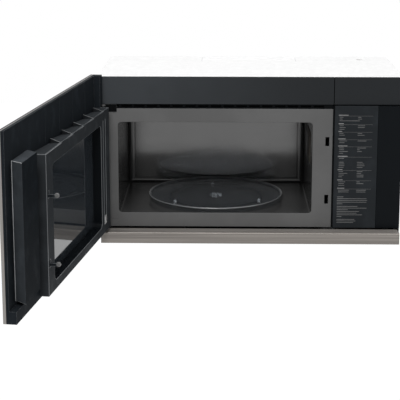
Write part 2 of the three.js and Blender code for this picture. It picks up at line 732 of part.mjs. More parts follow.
function powerBoard() {
  const front = frameBackY + board.setback;
  const left = panelLeft + board.margin;
  const right = insideX - board.margin;
  const plate = block(left, right, front, front + boardThickness, board.low, board.high);
  const relays = Array.from({ length: relay.count }, (_, index) => {
    const x = left + relay.first + index * relay.pitch;
    const low = board.low + relay.low;
    return block(x, x + relay.width, front + 1, front + relay.depth, low, low + relay.height);
  });
  const sinkLow = board.low + heatSink.low;
  const sink = block(left + heatSink.first, left + heatSink.first + heatSink.width, front + 1,
    front + heatSink.depth, sinkLow, sinkLow + heatSink.height);
  const posts = [left + board.postInset, right - board.postInset].flatMap((x) =>
    [board.low + board.postInset, board.high - board.postInset].map((z) =>
      rodY(postRadius, x, panelY + panelWall + seat, front + 1, z, 10)));
  return join(plate, ...relays, sink, ...posts);
}

function fanHousing() {
  const half = fanRadius + fanMargin;
  const frame = block(fanX - half, fanX + half, fanBackY - fanDepth, fanBackY, fanZ - half, fanZ + half);
  const throat = rodY(fanRadius + fanThroat, fanX, fanBackY - fanDepth - overcut, fanBackY - 2, fanZ, 32);
  const motorFrontY = fanBackY - fanMotor.depth - fanMotor.gap;
  const motor = rodY(fanMotor.radius, fanX, motorFrontY, fanBackY - 1, fanZ, 16);
  return join(cut(frame, throat), motor);
}

function fanBlades() {
  const back = fanBackY - fanMotor.depth - 2 * fanMotor.gap;
  const hub = rodY(fanHub.radius, fanX, back - fanHub.depth, back, fanZ, 16);
  const pitch = THREE.MathUtils.degToRad(fanBlade.pitch);
  const blades = turns(fanBladeCount).map((angle) => {
    const blade = sideBlock(fanBlade.root, fanRadius, 0, 0, fanBlade.thickness, fanBlade.chord);
    blade.rotateX(Math.PI / 2 + pitch).rotateY(angle);
    return blade.translate(fanX, back - fanBlade.setback, fanZ);
  });
  return join(hub, ...blades);
}

function latchBoard() {
  const { leftWall, rightWall, depth, end, pocket, reliefWall, reliefFront, reliefEnd } = latchHolder;
  const x0 = slotLeft - leftWall;
  const x1 = slotRight + rightWall;
  const plate = block(x0, x1, frameBackY + seat, frameBackY + depth, lowerSlotZ - end, upperSlotZ + end);
  const pockets = [upperSlotZ, lowerSlotZ].map((z) => slotSpace(z, frameBackY + pocket));
  const relief = block(x0 + reliefWall, x1 + overcut, frameBackY + reliefFront, frameBackY + depth + overcut,
    lowerSlotZ + reliefEnd, upperSlotZ - reliefEnd);
  return cut(plate, ...pockets, relief);
}

function microSwitch(z) {
  const { width, setback, depth, height } = switchBody;
  const middleY = frameBackY + setback + depth / 2;
  const tabX = switchX + switchTab.inset;
  const tabY = middleY + depth / 2 + switchTab.depth / 2;
  return join(
    sideBlock(switchX, switchX + width, middleY, z, depth, height),
    sideBlock(tabX, tabX + switchTab.width, tabY, z, switchTab.depth + 1, switchTab.height));
}

function cordBushing() {
  const seatZ = cabinetHeight - sheet - seat;
  const low = seatZ - gland.rise - gland.neck;
  const neck = rodZ(gland.radius, glandX, glandY, low, cabinetHeight - seat);
  const flange = rodZ(gland.flange, glandX, glandY, seatZ - gland.rise, seatZ);
  const bore = rodZ(gland.bore, glandX, glandY, low - overcut, cabinetHeight + overcut, 12);
  return cut(join(neck, flange), bore);
}

// ---- Ventilation ----
function addVentilation(group) {
  [-1, 1].forEach((side) => {
    const word = side < 0 ? 'left' : 'right';
    addPiece(group, `blower_housing_${word}`, blowerHousing(side * blowerSpacing), finishes.zinc);
    addPiece(group, `blower_wheel_${word}`, blowerWheel(side * blowerSpacing), finishes.zinc);
    addPiece(group, `grease_filter_${word}`, greaseFilter(side * filterX), finishes.mesh);
    addPiece(group, `cooktop_lens_${word}`, lensSolid(side * lensX), finishes.clearGlass);
  });
  addPiece(group, 'blower_motor', blowerMotor(), finishes.zinc);
  addPiece(group, 'blower_shaft', blowerShaft(), finishes.zinc);
  addPiece(group, 'charcoal_filter', charcoalFilter(), finishes.plastic);
}

function blowerHousing(x) {
  const half = blowerWidth / 2 + blowerSide;
  const reach = blowerRadius + blowerReach;
  const inner = half - blowerWall;
  const shell = pillar(x, blowerY, 2 * half, 2 * reach, aboveCavity, insideTop);
  const scroll = rodX(blowerRadius + blowerScroll, x - inner, x + inner, blowerY, blowerZ, 32);
  const outlet = pillar(x, blowerY, 2 * inner, blowerOutletDepth, blowerZ, insideTop + overcut);
  const inlets = rodX(blowerInletRadius, x - half - overcut, x + half + overcut, blowerY, blowerZ, 24);
  return cut(shell, scroll, outlet, inlets);
}

function blowerWheel(x) {
  const half = blowerWidth / 2;
  const web = 1;
  const inner = blowerRadius - blowerRim;
  const drum = cut(
    rodX(blowerRadius, x - half, x + half, blowerY, blowerZ, 32),
    rodX(inner, x - half - overcut, x - web, blowerY, blowerZ, 32),
    rodX(inner, x + web, x + half + overcut, blowerY, blowerZ, 32));
  const reach = blowerRadius + blowerRim;
  const slots = Array.from({ length: blowerBladeCount / 2 }, (_, index) => {
    const slot = block(-half + blowerRim, half - blowerRim, -blowerSlot / 2, blowerSlot / 2, -reach, reach);
    const core = rodX(inner - 2, -half, half, 0, 0, 24);
    return cut(slot, core).rotate([(index * 360) / blowerBladeCount, 0, 0]).translate([x, blowerY, blowerZ]);
  });
  const bore = rodX(blowerShaftRadius + seat, x - half, x + half, blowerY, blowerZ, 16);
  return cut(drum, ...slots, bore);
}

function blowerMotor() {
  const half = blowerSpacing - blowerWidth / 2 - blowerSide - seat - blowerMotorGap;
  const body = rodX(blowerMotorRadius, -half, half, blowerY, blowerZ, 24);
  const length = 2 * (half - cradle.inset);
  const base = pillar(0, blowerY, length, cradle.depth, aboveCavity, blowerZ - cradle.drop);
  const boreEnd = half + overcut;
  const bore = rodX(blowerShaftRadius + boreClearance, -boreEnd, boreEnd, blowerY, blowerZ, 16);
  return cut(join(body, base), bore);
}

function blowerShaft() {
  const end = blowerSpacing + blowerShaftEnd;
  return rodX(blowerShaftRadius, -end, end, blowerY, blowerZ, 16);
}

function greaseFilter(x) {
  const low = baseTop + seat;
  const frame = pillar(x, filterY, filterWidth, filterDepth, low, low + filterThickness);
  const tab = pillar(x, filterY, filterTab.width, filterTab.depth, baseZ - filterTab.hang, low + 1);
  return join(frame, tab);
}

function lensSolid(x) {
  const low = baseTop + seat;
  return pillar(x, lensY, lensWidth, lensDepth, low, low + lensThickness);
}

function charcoalFilter() {
  const left = cavityLeft + charcoal.leftInset;
  const right = cavityRight - charcoal.rightInset;
  const front = faceY + charcoal.front;
  const top = aboveCavity + charcoal.height;
  return block(left, right, front, front + charcoal.depth, aboveCavity, top);
}

// ---- Hinges on the cabinet ----
function tongueOutline() {
  const outline = new THREE.Shape();
  const left = hingeX + tongueOffset - tongueRadius;
  outline.moveTo(left, faceY - seat);
  outline.lineTo(left, hingeY);
  outline.absarc(hingeX + tongueOffset, hingeY, tongueRadius, Math.PI, 2 * Math.PI, false);
  outline.lineTo(left + 2 * tongueRadius, faceY - seat);
  return outline;
}

function hingeBracket(tongueZ, pinSide) {
  const upPlate = tongueZ - bracketEdge;
  const downPlate = tongueZ + tongueThickness + bracketEdge - bracketHeight;
  const plateLow = pinSide > 0 ? upPlate : downPlate;
  const plateLeft = -insideX + 2;
  const plate = block(plateLeft, plateLeft + bracketWidth, faceY - seat - bracketSheet, faceY - seat,
    plateLow, plateLow + bracketHeight);
  const tongue = plateZ(tongueOutline(), tongueZ, tongueZ + tongueThickness, 6);
  const pinLow = pinSide > 0 ? tongueZ + tongueThickness - 1 : tongueZ - earHeight - 1;
  const pin = rodZ(pinRadius, hingeX, hingeY, pinLow, pinLow + earHeight + 2, 16);
  return join(plate, tongue, pin);
}

function addHinges(group) {
  addPiece(group, 'hinge_upper', hingeBracket(upperTongueZ, -1), finishes.plastic);
  addPiece(group, 'hinge_lower', hingeBracket(lowerTongueZ, 1), finishes.plastic);
}

// ---- Door, modelled closed, then swung open about the hinge axis ----
function addDoor(group) {
  const swing = new THREE.Group();
  swing.position.set(hingeX, hingeY, 0);
  swing.rotation.z = -THREE.MathUtils.degToRad(doorOpenAngle);
  group.add(swing);
  const door = new THREE.Group();
  door.position.set(-hingeX, -hingeY, 0);
  swing.add(door);
  addPiece(door, 'door_glass', doorGlass(), finishes.glass);
  addPiece(door, 'door_trim', doorTrim(), finishes.trim);
  addPiece(door, 'door_screen', doorScreen(), finishes.mesh);
  addPiece(door, 'door_moulding', doorMoulding(), finishes.plastic);
  addPiece(door, 'window_pane', windowPane(), finishes.glass);
  addPiece(door, 'choke_frame', chokeFrame(), finishes.plastic);
  addPiece(door, 'control_housing', controlHousing(), finishes.plastic);
  addPiece(door, 'touch_board', touchBoard(), finishes.board);
  addPiece(door, 'latch_bar', latchBar(), finishes.plastic);
}

function doorGlass() {
  return block(doorLeft, doorRight - trimEdge - seat, doorFrontY, glassRearY, doorBottom, doorTop);
}

function doorTrim() {
  const ring = cut(
    block(doorLeft, doorRight, trimFrontY, trimRearY, doorBottom, doorTop),
    block(doorLeft + trimBand, doorRight - trimBand, trimFrontY - overcut, trimRearY + overcut,
      doorBottom + trimSill, doorTop - trimBand));
  return join(ring, block(doorRight - trimEdge, doorRight, doorFrontY, trimRearY, doorBottom, doorTop));
}

function doorScreen() {
  const frontY = trimRearY - screenThickness;
  return block(windowLeft - screenSideMargin, windowRight + screenSideMargin, frontY, trimRearY,
    windowBottom - screenBottomMargin, windowTop + screenTopMargin);
}

function windowOutline(grow) {
  const low = windowBottom - grow;
  return roundedOutline(windowLeft - grow, windowRight + grow, low, windowTop + grow, windowRadius);
}

function windowPane() {
  return plateY(windowOutline(paneOverlap), mouldingFrontY, mouldingFrontY + paneThickness);
}

function hingeEar(z0, z1) {
  const ear = join(
    block(hingeX - earRadius, hingeX + earRadius, doorRearY - 1, hingeY, z0, z1),
    rodZ(earRadius, hingeX, hingeY, z0, z1, 20));
  return cut(ear, rodZ(pinRadius + boreClearance, hingeX, hingeY, z0 - overcut, z1 + overcut, 16));
}

function doorMoulding() {
  const lipTop = doorBottom + lipHeight;
  const capX = doorLeft + endCapWidth;
  const plate = block(doorLeft, doorRight, mouldingFrontY, mouldingRearY, doorBottom, doorTop);
  const lip = block(doorLeft, doorRight, mouldingRearY - 1, doorRearY, doorBottom, lipTop);
  const hollow = block(capX, doorRight - lipWall, mouldingRearY, doorRearY - lipWall,
    doorBottom - overcut, lipTop - lipWall);
  const cap = block(doorLeft, capX, mouldingRearY - 1, doorRearY, doorBottom, doorTop);
  const windowHole = windowOutline(paneOverlap + seat);
  const window = plateY(windowHole, mouldingFrontY - overcut, mouldingRearY + overcut);
  const chokeBay = block(chokeLeft - seat, chokeRight + seat, mouldingRearY, doorRearY + overcut,
    chokeBottom - seat, chokeTop + seat);
  const body = cut(join(plate, lip, cap), hollow, window, chokeBay);
  const upperEar = upperTongueZ - seat;
  const lowerEar = lowerTongueZ + tongueThickness + seat;
  return join(body, hingeEar(upperEar - earHeight, upperEar), hingeEar(lowerEar, lowerEar + earHeight));
}

function chokeFrame() {
  const outer = block(chokeLeft, chokeRight, chokeBackY, chokeFaceY, chokeBottom, chokeTop);
  const sleeveFront = mouldingFrontY + paneThickness + seat;
  const sleeve = plateY(windowOutline(chokeWall), sleeveFront, chokeFaceY - 1);
  const hollow = block(chokeLeft + chokeWall, chokeRight - chokeWall,
    chokeBackY - overcut, chokeFaceY - chokeFace, chokeBottom + chokeWall, chokeTop - chokeWall);
  const window = plateY(windowOutline(0), sleeveFront - overcut, chokeFaceY + overcut);
  const frame = join(cut(outer, hollow), sleeve, ...fins());
  return cut(frame, window, hookSlot(upperSlotZ), hookSlot(lowerSlotZ));
}

// The slot that a latch hook comes out of, with room for its travel upwards.
function hookSlot(z) {
  const halfWide = hookWidth / 2 + hookClearance;
  const halfHigh = hookHeight / 2 + hookClearance;
  return block(slotX - halfWide, slotX + halfWide, chokeFaceY - chokeFace - overcut, chokeFaceY + overcut,
    z - halfHigh, z + halfHigh + latchTravel);
}

function fins() {
  const room = chokeRight - chokeLeft - finInset - finEnd;
  return Array.from({ length: Math.floor(room / finSpacing) + 1 }, (_, index) => {
    const x = chokeRight - finInset - index * finSpacing;
    const outline = polygon([
      [x - finLean, chokeBackY], [x - finLean + finThickness, chokeBackY],
      [x + finThickness, chokeFaceY], [x, chokeFaceY]]);
    return plateZ(outline, chokeTop - 1, chokeTop + finHeight);
  });
}

function controlHousing() {
  const rear = mouldingRearY + seat;
  const shape = polygon([[housingFootLeft, rear], [housingFootRight, rear],
    [housingFaceRight, housingFaceY], [housingFaceLeft, housingFaceY]]);
  const insideFaceY = housingFaceY - housingWall;
  const inside = polygon([
    [housingFootLeft + housingWall, rear - overcut], [housingFootRight - housingWall, rear - overcut],
    [housingFaceRight - 2 * housingWall, insideFaceY], [housingFaceLeft + housingWall, insideFaceY]]);
  return cut(plateZ(shape, housingBottom, housingTop),
    plateZ(inside, housingBottom + housingWall, housingTop - housingWall));
}

function touchBoard() {
  const rear = mouldingRearY + seat;
  const front = rear + boardStandoff;
  const low = housingBottom + boardEnd;
  const high = housingTop - boardEnd;
  const plate = block(housingFootLeft + boardMargin, housingFootRight - boardMargin,
    front, front + boardThickness, low, high);
  const middle = (housingFootLeft + housingFootRight) / 2;
  const posts = [low + boardEnd, high - boardEnd].map((z) =>
    rodY(postRadius, middle, rear, front + boardThickness / 2, z, 10));
  return join(plate, ...posts);
}

function latchHook(z) {
  const root = chokeFaceY - chokeFace - seat - latchBarDepth;
  const tip = chokeFaceY + hookReach;
  const top = z + hookHeight / 2;
  const bottom = z - hookHeight / 2;
  const profile = [
    [root, bottom], [tip - 6, bottom], [tip, bottom + 3], [tip, top - 2], [tip - 3, top + hookBarb],
    [tip - 9, top + hookBarb], [tip - 9, top], [root, top]];
  return barX(profile, slotX - hookWidth / 2, slotX + hookWidth / 2);
}

function latchBar() {
  const rear = chokeFaceY - chokeFace - seat;
  const half = latchBarWidth / 2;
  const bar = block(slotX - half, slotX + half, rear - latchBarDepth, rear,
    lowerSlotZ - latchBarEnd, upperSlotZ + latchBarEnd);
  return join(bar, latchHook(upperSlotZ), latchHook(lowerSlotZ));
}

// ---- The whole oven ----
const microwave = new THREE.Group();
microwave.position.z = -cabinetHeight / 2;
addCabinet(microwave);
addCavity(microwave);
addTurntable(microwave);
addInnerWorks(microwave);
addVentilation(microwave);
addHinges(microwave);
addDoor(microwave);

export default microwave;
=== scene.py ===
"""Over-the-range microwave oven, its side-hinged door standing open.

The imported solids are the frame. Each keeps its corners and gets a finish, and the pieces that the
eye rests on are modelled again over the same corners. Lengths are in metres.
"""

import json
import logging
import math
from dataclasses import dataclass
from enum import Enum
from functools import cache
from typing import Callable, Iterable, Optional, Sequence, Union

import bmesh
import bpy
from mathutils import Matrix, Vector

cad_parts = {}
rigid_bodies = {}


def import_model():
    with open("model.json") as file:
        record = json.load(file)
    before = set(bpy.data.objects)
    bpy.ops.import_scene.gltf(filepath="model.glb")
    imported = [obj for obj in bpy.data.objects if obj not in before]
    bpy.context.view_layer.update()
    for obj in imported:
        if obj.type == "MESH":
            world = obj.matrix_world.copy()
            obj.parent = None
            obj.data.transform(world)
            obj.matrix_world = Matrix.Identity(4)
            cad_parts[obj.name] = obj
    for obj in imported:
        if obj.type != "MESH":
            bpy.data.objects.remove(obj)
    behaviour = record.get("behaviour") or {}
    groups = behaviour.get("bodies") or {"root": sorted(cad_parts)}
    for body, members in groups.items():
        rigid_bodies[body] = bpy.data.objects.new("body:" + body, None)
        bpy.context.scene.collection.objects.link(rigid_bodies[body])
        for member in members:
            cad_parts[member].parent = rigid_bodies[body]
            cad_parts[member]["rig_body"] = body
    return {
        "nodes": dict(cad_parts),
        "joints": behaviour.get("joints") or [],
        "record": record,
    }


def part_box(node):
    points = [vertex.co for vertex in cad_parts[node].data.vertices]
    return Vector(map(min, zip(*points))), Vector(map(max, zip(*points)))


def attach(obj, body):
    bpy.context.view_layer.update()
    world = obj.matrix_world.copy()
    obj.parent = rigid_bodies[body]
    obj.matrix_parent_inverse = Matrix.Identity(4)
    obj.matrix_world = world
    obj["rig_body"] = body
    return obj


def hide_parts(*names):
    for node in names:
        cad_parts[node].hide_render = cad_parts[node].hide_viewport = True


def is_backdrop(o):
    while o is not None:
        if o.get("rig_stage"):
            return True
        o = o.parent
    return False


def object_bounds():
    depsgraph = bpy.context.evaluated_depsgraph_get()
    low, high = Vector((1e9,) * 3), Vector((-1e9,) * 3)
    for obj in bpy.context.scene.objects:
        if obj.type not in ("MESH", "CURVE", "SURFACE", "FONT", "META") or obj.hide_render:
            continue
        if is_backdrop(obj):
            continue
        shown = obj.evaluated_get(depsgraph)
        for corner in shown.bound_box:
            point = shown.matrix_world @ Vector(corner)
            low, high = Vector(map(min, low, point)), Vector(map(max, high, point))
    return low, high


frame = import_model()

log = logging.getLogger("microwave")
Colour = tuple[float, float, float]
Point = Sequence[float]
WHITE = (1.0, 1.0, 1.0, 1.0)
MILLIMETRE = 0.001
FLAT_ANGLE = math.radians(0.6)
NODE_SLOTS = {row["node"]: row["material_slot"] for row in frame["record"]["subparts"]}
DOOR_HINGE = next(joint for joint in frame["joints"] if joint["name"] == "door_hinge")
HINGE_POINT = Vector(DOOR_HINGE["pos_m"])


class Axis(Enum):
    """The direction along which a grain, a rod or a strip runs."""

    X = 0
    Y = 1
    Z = 2

    def vector(self) -> Vector:
        """Returns the unit vector of the axis."""
        return Vector([1.0 if place == self.value else 0.0 for place in range(3)])

    def turn(self) -> Matrix:
        """Returns the turn that brings something drawn along Z onto the axis."""
        return Vector((0, 0, 1)).rotation_difference(self.vector()).to_matrix().to_4x4()


# ---- Shader maths ----


class Signal:
    """An output socket that adds Math nodes when it takes part in an expression."""

    def __init__(self, board: "Board", socket: bpy.types.NodeSocket) -> None:
        """Keeps the node board and the socket that carries the value."""
        self.board = board
        self.socket = socket

    def math(self, operation: str, first: "Value", second: "Value" = 0.0) -> "Signal":
        """Adds a Math node.

        Args:
            operation: the node's operation.
            first: its first value.
            second: its second value.

        Returns:
            The node's output.
        """
        return self.board.add("ShaderNodeMath", {"operation": operation}, {0: first, 1: second})

    def __add__(self, other: "Value") -> "Signal":
        """Returns the sum."""
        return self.math("ADD", self, other)

    def __radd__(self, other: "Value") -> "Signal":
        """Returns the sum."""
        return self.math("ADD", other, self)

    def __sub__(self, other: "Value") -> "Signal":
        """Returns the difference."""
        return self.math("SUBTRACT", self, other)

    def __rsub__(self, other: "Value") -> "Signal":
        """Returns the difference."""
        return self.math("SUBTRACT", other, self)

    def __mul__(self, other: "Value") -> "Signal":
        """Returns the product."""
        return self.math("MULTIPLY", self, other)

    def __rmul__(self, other: "Value") -> "Signal":
        """Returns the product."""
        return self.math("MULTIPLY", other, self)

    def least(self, other: "Value") -> "Signal":
        """Returns the smaller of the two."""
        return self.math("MINIMUM", self, other)

    def most(self, other: "Value") -> "Signal":
        """Returns the larger of the two."""
        return self.math("MAXIMUM", self, other)

    def size(self) -> "Signal":
        """Returns the value without its sign."""
        return self.math("ABSOLUTE", self)

    def repeat(self, length: float) -> "Signal":
        """Returns the distance to the nearest whole multiple of a length."""
        return self.math("PINGPONG", self, length / 2)


Value = Union[Signal, float]


class Board:
    """The node board of a material or a world, with the shader that it starts with."""

    def __init__(self, owner: Union[bpy.types.Material, bpy.types.World]) -> None:
        """Finds the owner's output and the shader that it shows.

        Args:
            owner: the new material or world.
        """
        owner.use_nodes = True
        self.owner, self.tree = owner, owner.node_tree
        self.output = next(node for node in self.tree.nodes if "Output" in node.bl_idname)
        self.shader = self.output.inputs["Surface"].links[0].from_node

    def add(self, kind: str, settings: dict, values: dict, output: Union[int, str] = 0) -> Signal:
        """Adds a node, its settings first and then its sockets.

        Args:
            kind: the node's type.
            settings: its properties.
            values: a value or signal for each of its sockets, by name or place.
            output: the output that is wanted.

        Returns:
            That output.
        """
        node = self.tree.nodes.new(kind)
        for key, value in settings.items():
            setattr(node, key, value)
        for key, value in values.items():
            self.feed(node.inputs[key], value)
        return Signal(self, node.outputs[output])

    def feed(self, socket: bpy.types.NodeSocket, value: Union[Value, Point]) -> None:
        """Links a signal to a socket, or writes a plain value in it.

        Args:
            socket: the socket.
            value: the signal or the plain value.
        """
        if isinstance(value, Signal):
            self.tree.links.new(value.socket, socket)
        else:
            socket.default_value = value

    def set(self, **values: Union[Value, Point]) -> None:
        """Feeds sockets of the shader, an underscore standing for each space in their names."""
        for key, value in values.items():
            self.feed(self.shader.inputs[key.replace("_", " ")], value)

    def blend(self, share: Value, other: Signal) -> None:
        """Shows another shader over the board's own one.

        Args:
            share: how much of the other one shows, from 0 to 1.
            other: the other shader.
        """
        own = Signal(self, self.shader.outputs[0])
        mixed = self.add("ShaderNodeMixShader", {}, {0: share, 1: own, 2: other})
        self.feed(self.output.inputs["Surface"], mixed)

    def seen(self) -> Signal:
        """Returns 1 for rays that look at the background, straight, mirrored or through glass."""
        camera, glossy, through = [self.add("ShaderNodeLightPath", {}, {}, f"Is {kind} Ray")
                                   for kind in ("Camera", "Glossy", "Transmission")]
        return camera.most(glossy).most(through)

    def place(self, **mapping: Union[Value, Point]) -> Signal:
        """Returns the object's own coordinates, put through a Mapping node where it has values."""
        found = self.add("ShaderNodeTexCoord", {}, {}, "Object")
        return self.add("ShaderNodeMapping", {}, {"Vector": found, **mapping}) if mapping else found

    def part(self, axis: Axis, vector: Optional[Signal] = None) -> Signal:
        """Returns one coordinate of a vector, or of the object's own coordinates."""
        return self.add("ShaderNodeSeparateXYZ", {}, {0: vector or self.place()}, axis.value)

    def noise(self, size: float, detail: float = 3.0, vector: Optional[Signal] = None) -> Signal:
        """Returns cloudy noise from 0 to 1 whose largest clouds have the given size."""
        values = {"Vector": vector or self.place(), "Scale": 1 / size, "Detail": detail}
        return self.add("ShaderNodeTexNoise", {}, values)

    def cells(self, size: float, output: str = "Distance") -> Signal:
        """Returns a cell pattern whose cells have the given size."""
        return self.add("ShaderNodeTexVoronoi", {}, {"Vector": self.place(), "Scale": 1 / size}, output)

    def fit(self, value: Value, low: float, high: float, first: float = 0.0, last: float = 1.0) -> Signal:
        """Returns a value brought smoothly from the range low to high to the range first to last."""
        values = {0: value, 1: low, 2: high, 3: first, 4: last}
        return self.add("ShaderNodeMapRange", {"interpolation_type": "SMOOTHSTEP"}, values)

    def tint(self, mask: Value, plain: Union[Signal, Colour], marked: Union[Signal, Colour]) -> Signal:
        """Returns the plain colour, and the marked one where the mask is 1."""
        sides = [side if isinstance(side, Signal) else linear(side) for side in (plain, marked)]
        return self.add("ShaderNodeMix", {"data_type": "RGBA"}, {0: mask, 6: sides[0], 7: sides[1]}, 2)

    def vary(self, mask: Value, colour: Colour, swing: float) -> Signal:
        """Returns a colour that is darker by a swing where the mask is 0, and lighter where it is 1."""
        return self.tint(mask, shade(colour, 1 - swing), shade(colour, 1 + swing))

    def relief(self, height: Value, depth: float) -> Signal:
        """Returns the normal of a surface that stands out by a depth where the height is 1."""
        return self.add("ShaderNodeBump", {}, {"Strength": 1.0, "Distance": depth, "Height": height})


def linear(colour: Colour) -> tuple[float, float, float, float]:
    """Returns a screen colour as the shader's scene values, with full alpha."""
    parts = [c / 12.92 if c <= 0.04045 else ((c + 0.055) / 1.055) ** 2.4 for c in colour]
    return (*parts, 1.0)


def grey(level: float, warmth: float = 0.0) -> Colour:
    """Returns the screen colour of a grey from 0 to 255, warmer or cooler by some levels."""
    return ((level + warmth) / 255, level / 255, (level - warmth) / 255)


def shade(colour: Colour, factor: float) -> Colour:
    """Returns a screen colour made lighter or darker."""
    return tuple(min(1.0, part * factor) for part in colour)


# ---- Finishes ----


@dataclass(frozen=True)
class Finish:
    """What every finish has: a name, its colour on a screen, its roughness and its shine."""

    name: str
    colour: Colour
    roughness: float = 0.5
    shine: float = 0.3

    @cache
    def material(self) -> bpy.types.Material:
        """Makes the finish's material, when it is first asked for.

        Returns:
            The material.
        """
        board = Board(bpy.data.materials.new(self.name))
        board.set(Base_Color=linear(self.colour), Roughness=self.roughness, Specular_IOR_Level=self.shine)
        self.paint(board)
        return board.owner

    def paint(self, board: Board) -> None:
        """Adds what varies over the surface."""
        raise NotImplementedError

    def rough(self, *swings: tuple[Signal, float]) -> Value:
        """Returns the roughness, round which noises swing.

        Args:
            swings: each noise and how far it takes the roughness.

        Returns:
            The roughness.
        """
        total: Value = self.roughness
        for noise, swing in swings:
            total = total + (noise - 0.5) * swing
        return total


@dataclass(frozen=True)
class CoatedSheet(Finish):
    """Painted or coated steel sheet, with a faint orange peel, slow drifts of tone and fine specks.

    It darkens over a stretch of X, to a factor of its colour, where that is asked: a painted shade.
    """

    metallic: float = 0.0
    peel: float = 0.0016
    cloud: float = 0.11
    speck: float = 0.0009
    drift: float = 0.05
    painted_shade_ramp: tuple[float, float, float] = (0.0, 0.0, 1.0)

    def paint(self, board: Board) -> None:
        """Adds the drift, the specks, the painted shade across X and the peel.

        Args:
            board: the finish's board.
        """
        cloud, speck = board.noise(self.cloud, 4.0), board.noise(self.speck, 2.0)
        tone = board.vary(board.fit(cloud, 0.35, 0.65), self.colour, self.drift)
        tone = board.tint(board.fit(speck, 0.62, 0.72, 0.0, 0.3), tone, shade(self.colour, 1.18))
        # Painted shade: the colour darkens across X by the ramp's factor.
        start, end, factor = self.painted_shade_ramp
        if end > start:
            tone = board.tint(board.fit(board.part(Axis.X), start, end), tone, shade(self.colour, factor))
        board.set(Base_Color=tone, Roughness=self.rough((cloud, 0.14), (speck, 0.08)),
                  Metallic=self.metallic, Normal=board.relief(board.noise(self.peel, 2.0), 0.00002))


@dataclass(frozen=True)
class Moulded(Finish):
    """Moulded plastic, with the fine leather grain of its tool and rubbed spots."""

    grain: float = 0.0008
    depth: float = 0.00004
    spot: float = 0.05
    drift: float = 0.07

    def paint(self, board: Board) -> None:
        """Adds the grain and the rubbed spots.

        Args:
            board: the finish's board.
        """
        pits, fine = board.cells(self.grain), board.noise(self.grain * 0.6)
        rubbed = board.fit(board.noise(self.spot, 4.0), 0.48, 0.7)
        board.set(Base_Color=board.vary(rubbed, self.colour, self.drift),
                  Roughness=self.rough((fine, 0.12)) - rubbed * 0.08,
                  Normal=board.relief(pits * 0.7 + fine * 0.6, self.depth))


@dataclass(frozen=True)
class Brushed(Finish):
    """Steel brushed along one axis, with long streaks and soft handling marks."""

    along: Axis = Axis.X
    contrast: float = 0.12
    metallic: float = 1.0
    hair: tuple[float, float] = (1400.0, 5.0)
    band: tuple[float, float] = (160.0, 1.6)
    mark: float = 0.09

    def streaks(self, board: Board, scales: tuple[float, float], detail: float) -> Signal:
        """Returns noise that is drawn out along the brushing.

        Args:
            board: the finish's board.
            scales: the noise's scale across the brushing and along it.
            detail: the noise's detail.

        Returns:
            The noise.
        """
        scale = [scales[1] if axis is self.along else scales[0] for axis in Axis]
        return board.noise(1.0, detail, board.place(Scale=scale))

    def paint(self, board: Board) -> None:
        """Adds the hairs, the broad streaks and the handling marks.

        Args:
            board: the finish's board.
        """
        hair, band = self.streaks(board, self.hair, 4.0), self.streaks(board, self.band, 2.0)
        streak = board.fit(hair * 0.6 + band * 0.4, 0.35, 0.65)
        board.set(Base_Color=board.vary(streak, self.colour, self.contrast), Metallic=self.metallic,
                  Roughness=self.rough((hair, 0.2), (board.noise(self.mark), 0.1)),
                  Normal=board.relief(hair, 0.00001))


@dataclass(frozen=True)
class Galvanised(Finish):
    """Zinc-coated sheet with the spangle of its crystals."""

    spangle: float = 0.012
    contrast: float = 0.05
    dust: float = 0.004
    metallic: float = 0.85

    def paint(self, board: Board) -> None:
        """Adds the crystals and the dust on them.

        Args:
            board: the finish's board.
        """
        crystal = board.part(Axis.X, board.cells(self.spangle, "Color"))
        dust = board.noise(self.dust, 4.0)
        board.set(Base_Color=board.vary(crystal * 0.7 + dust * 0.3, self.colour, self.contrast),
                  Metallic=self.metallic, Roughness=self.rough((crystal, 0.16), (dust, 0.08)),
                  Normal=board.relief(dust, 0.00001))


@dataclass(frozen=True)
class OvenSteel(Finish):
    """The oven's inside: a semi-gloss coated steel that mirrors the mouth softly."""

    edge_level: float = 60.0
    metallic: float = 0.92
    wipes: Point = (9.0, 9.0, 34.0)
    haze: float = 0.12
    grain: float = 0.0007

    def paint(self, board: Board) -> None:
        """Adds the marks of wiping, the haze and the grain.

        Args:
            board: the finish's board.
        """
        wipe = board.noise(1.0, 4.0, board.place(Scale=self.wipes))
        haze = board.noise(self.haze)
        board.set(Base_Color=board.vary(haze, self.colour, 0.06), Metallic=self.metallic,
                  Roughness=self.rough((wipe, 0.1), (haze, 0.08)),
                  Normal=board.relief(board.noise(self.grain, 2.0), 0.000006),
                  Specular_Tint=linear(grey(self.edge_level)))


@dataclass(frozen=True)
class ClearGlass(Finish):
    """Clear pressed glass, faintly tinted, with wipe marks that only touch its gloss.

    A share of it lets light pass straight on.
    """

    index: float = 1.45
    clear: float = 0.0
    smear: float = 0.06
    ripple: float = 0.03

    def paint(self, board: Board) -> None:
        """Adds the wipe marks, the ripple and the clear share.

        Args:
            board: the finish's board.
        """
        smear = board.fit(board.noise(self.smear, 4.0), 0.5, 0.75, 0.0, 0.1)
        wavy = board.noise(self.ripple, 1.0)
        board.set(Transmission_Weight=1.0, IOR=self.index, Roughness=smear + self.roughness,
                  Base_Color=board.tint(wavy, self.colour, shade(self.colour, 0.985)),
                  Normal=board.relief(wavy, 0.00005))
        if self.clear:
            straight = board.add("ShaderNodeBsdfTransparent", {}, {"Color": linear(self.colour)})
            board.blend(board.fit(wavy, 0.2, 0.8, self.clear - 0.03, self.clear + 0.03), straight)


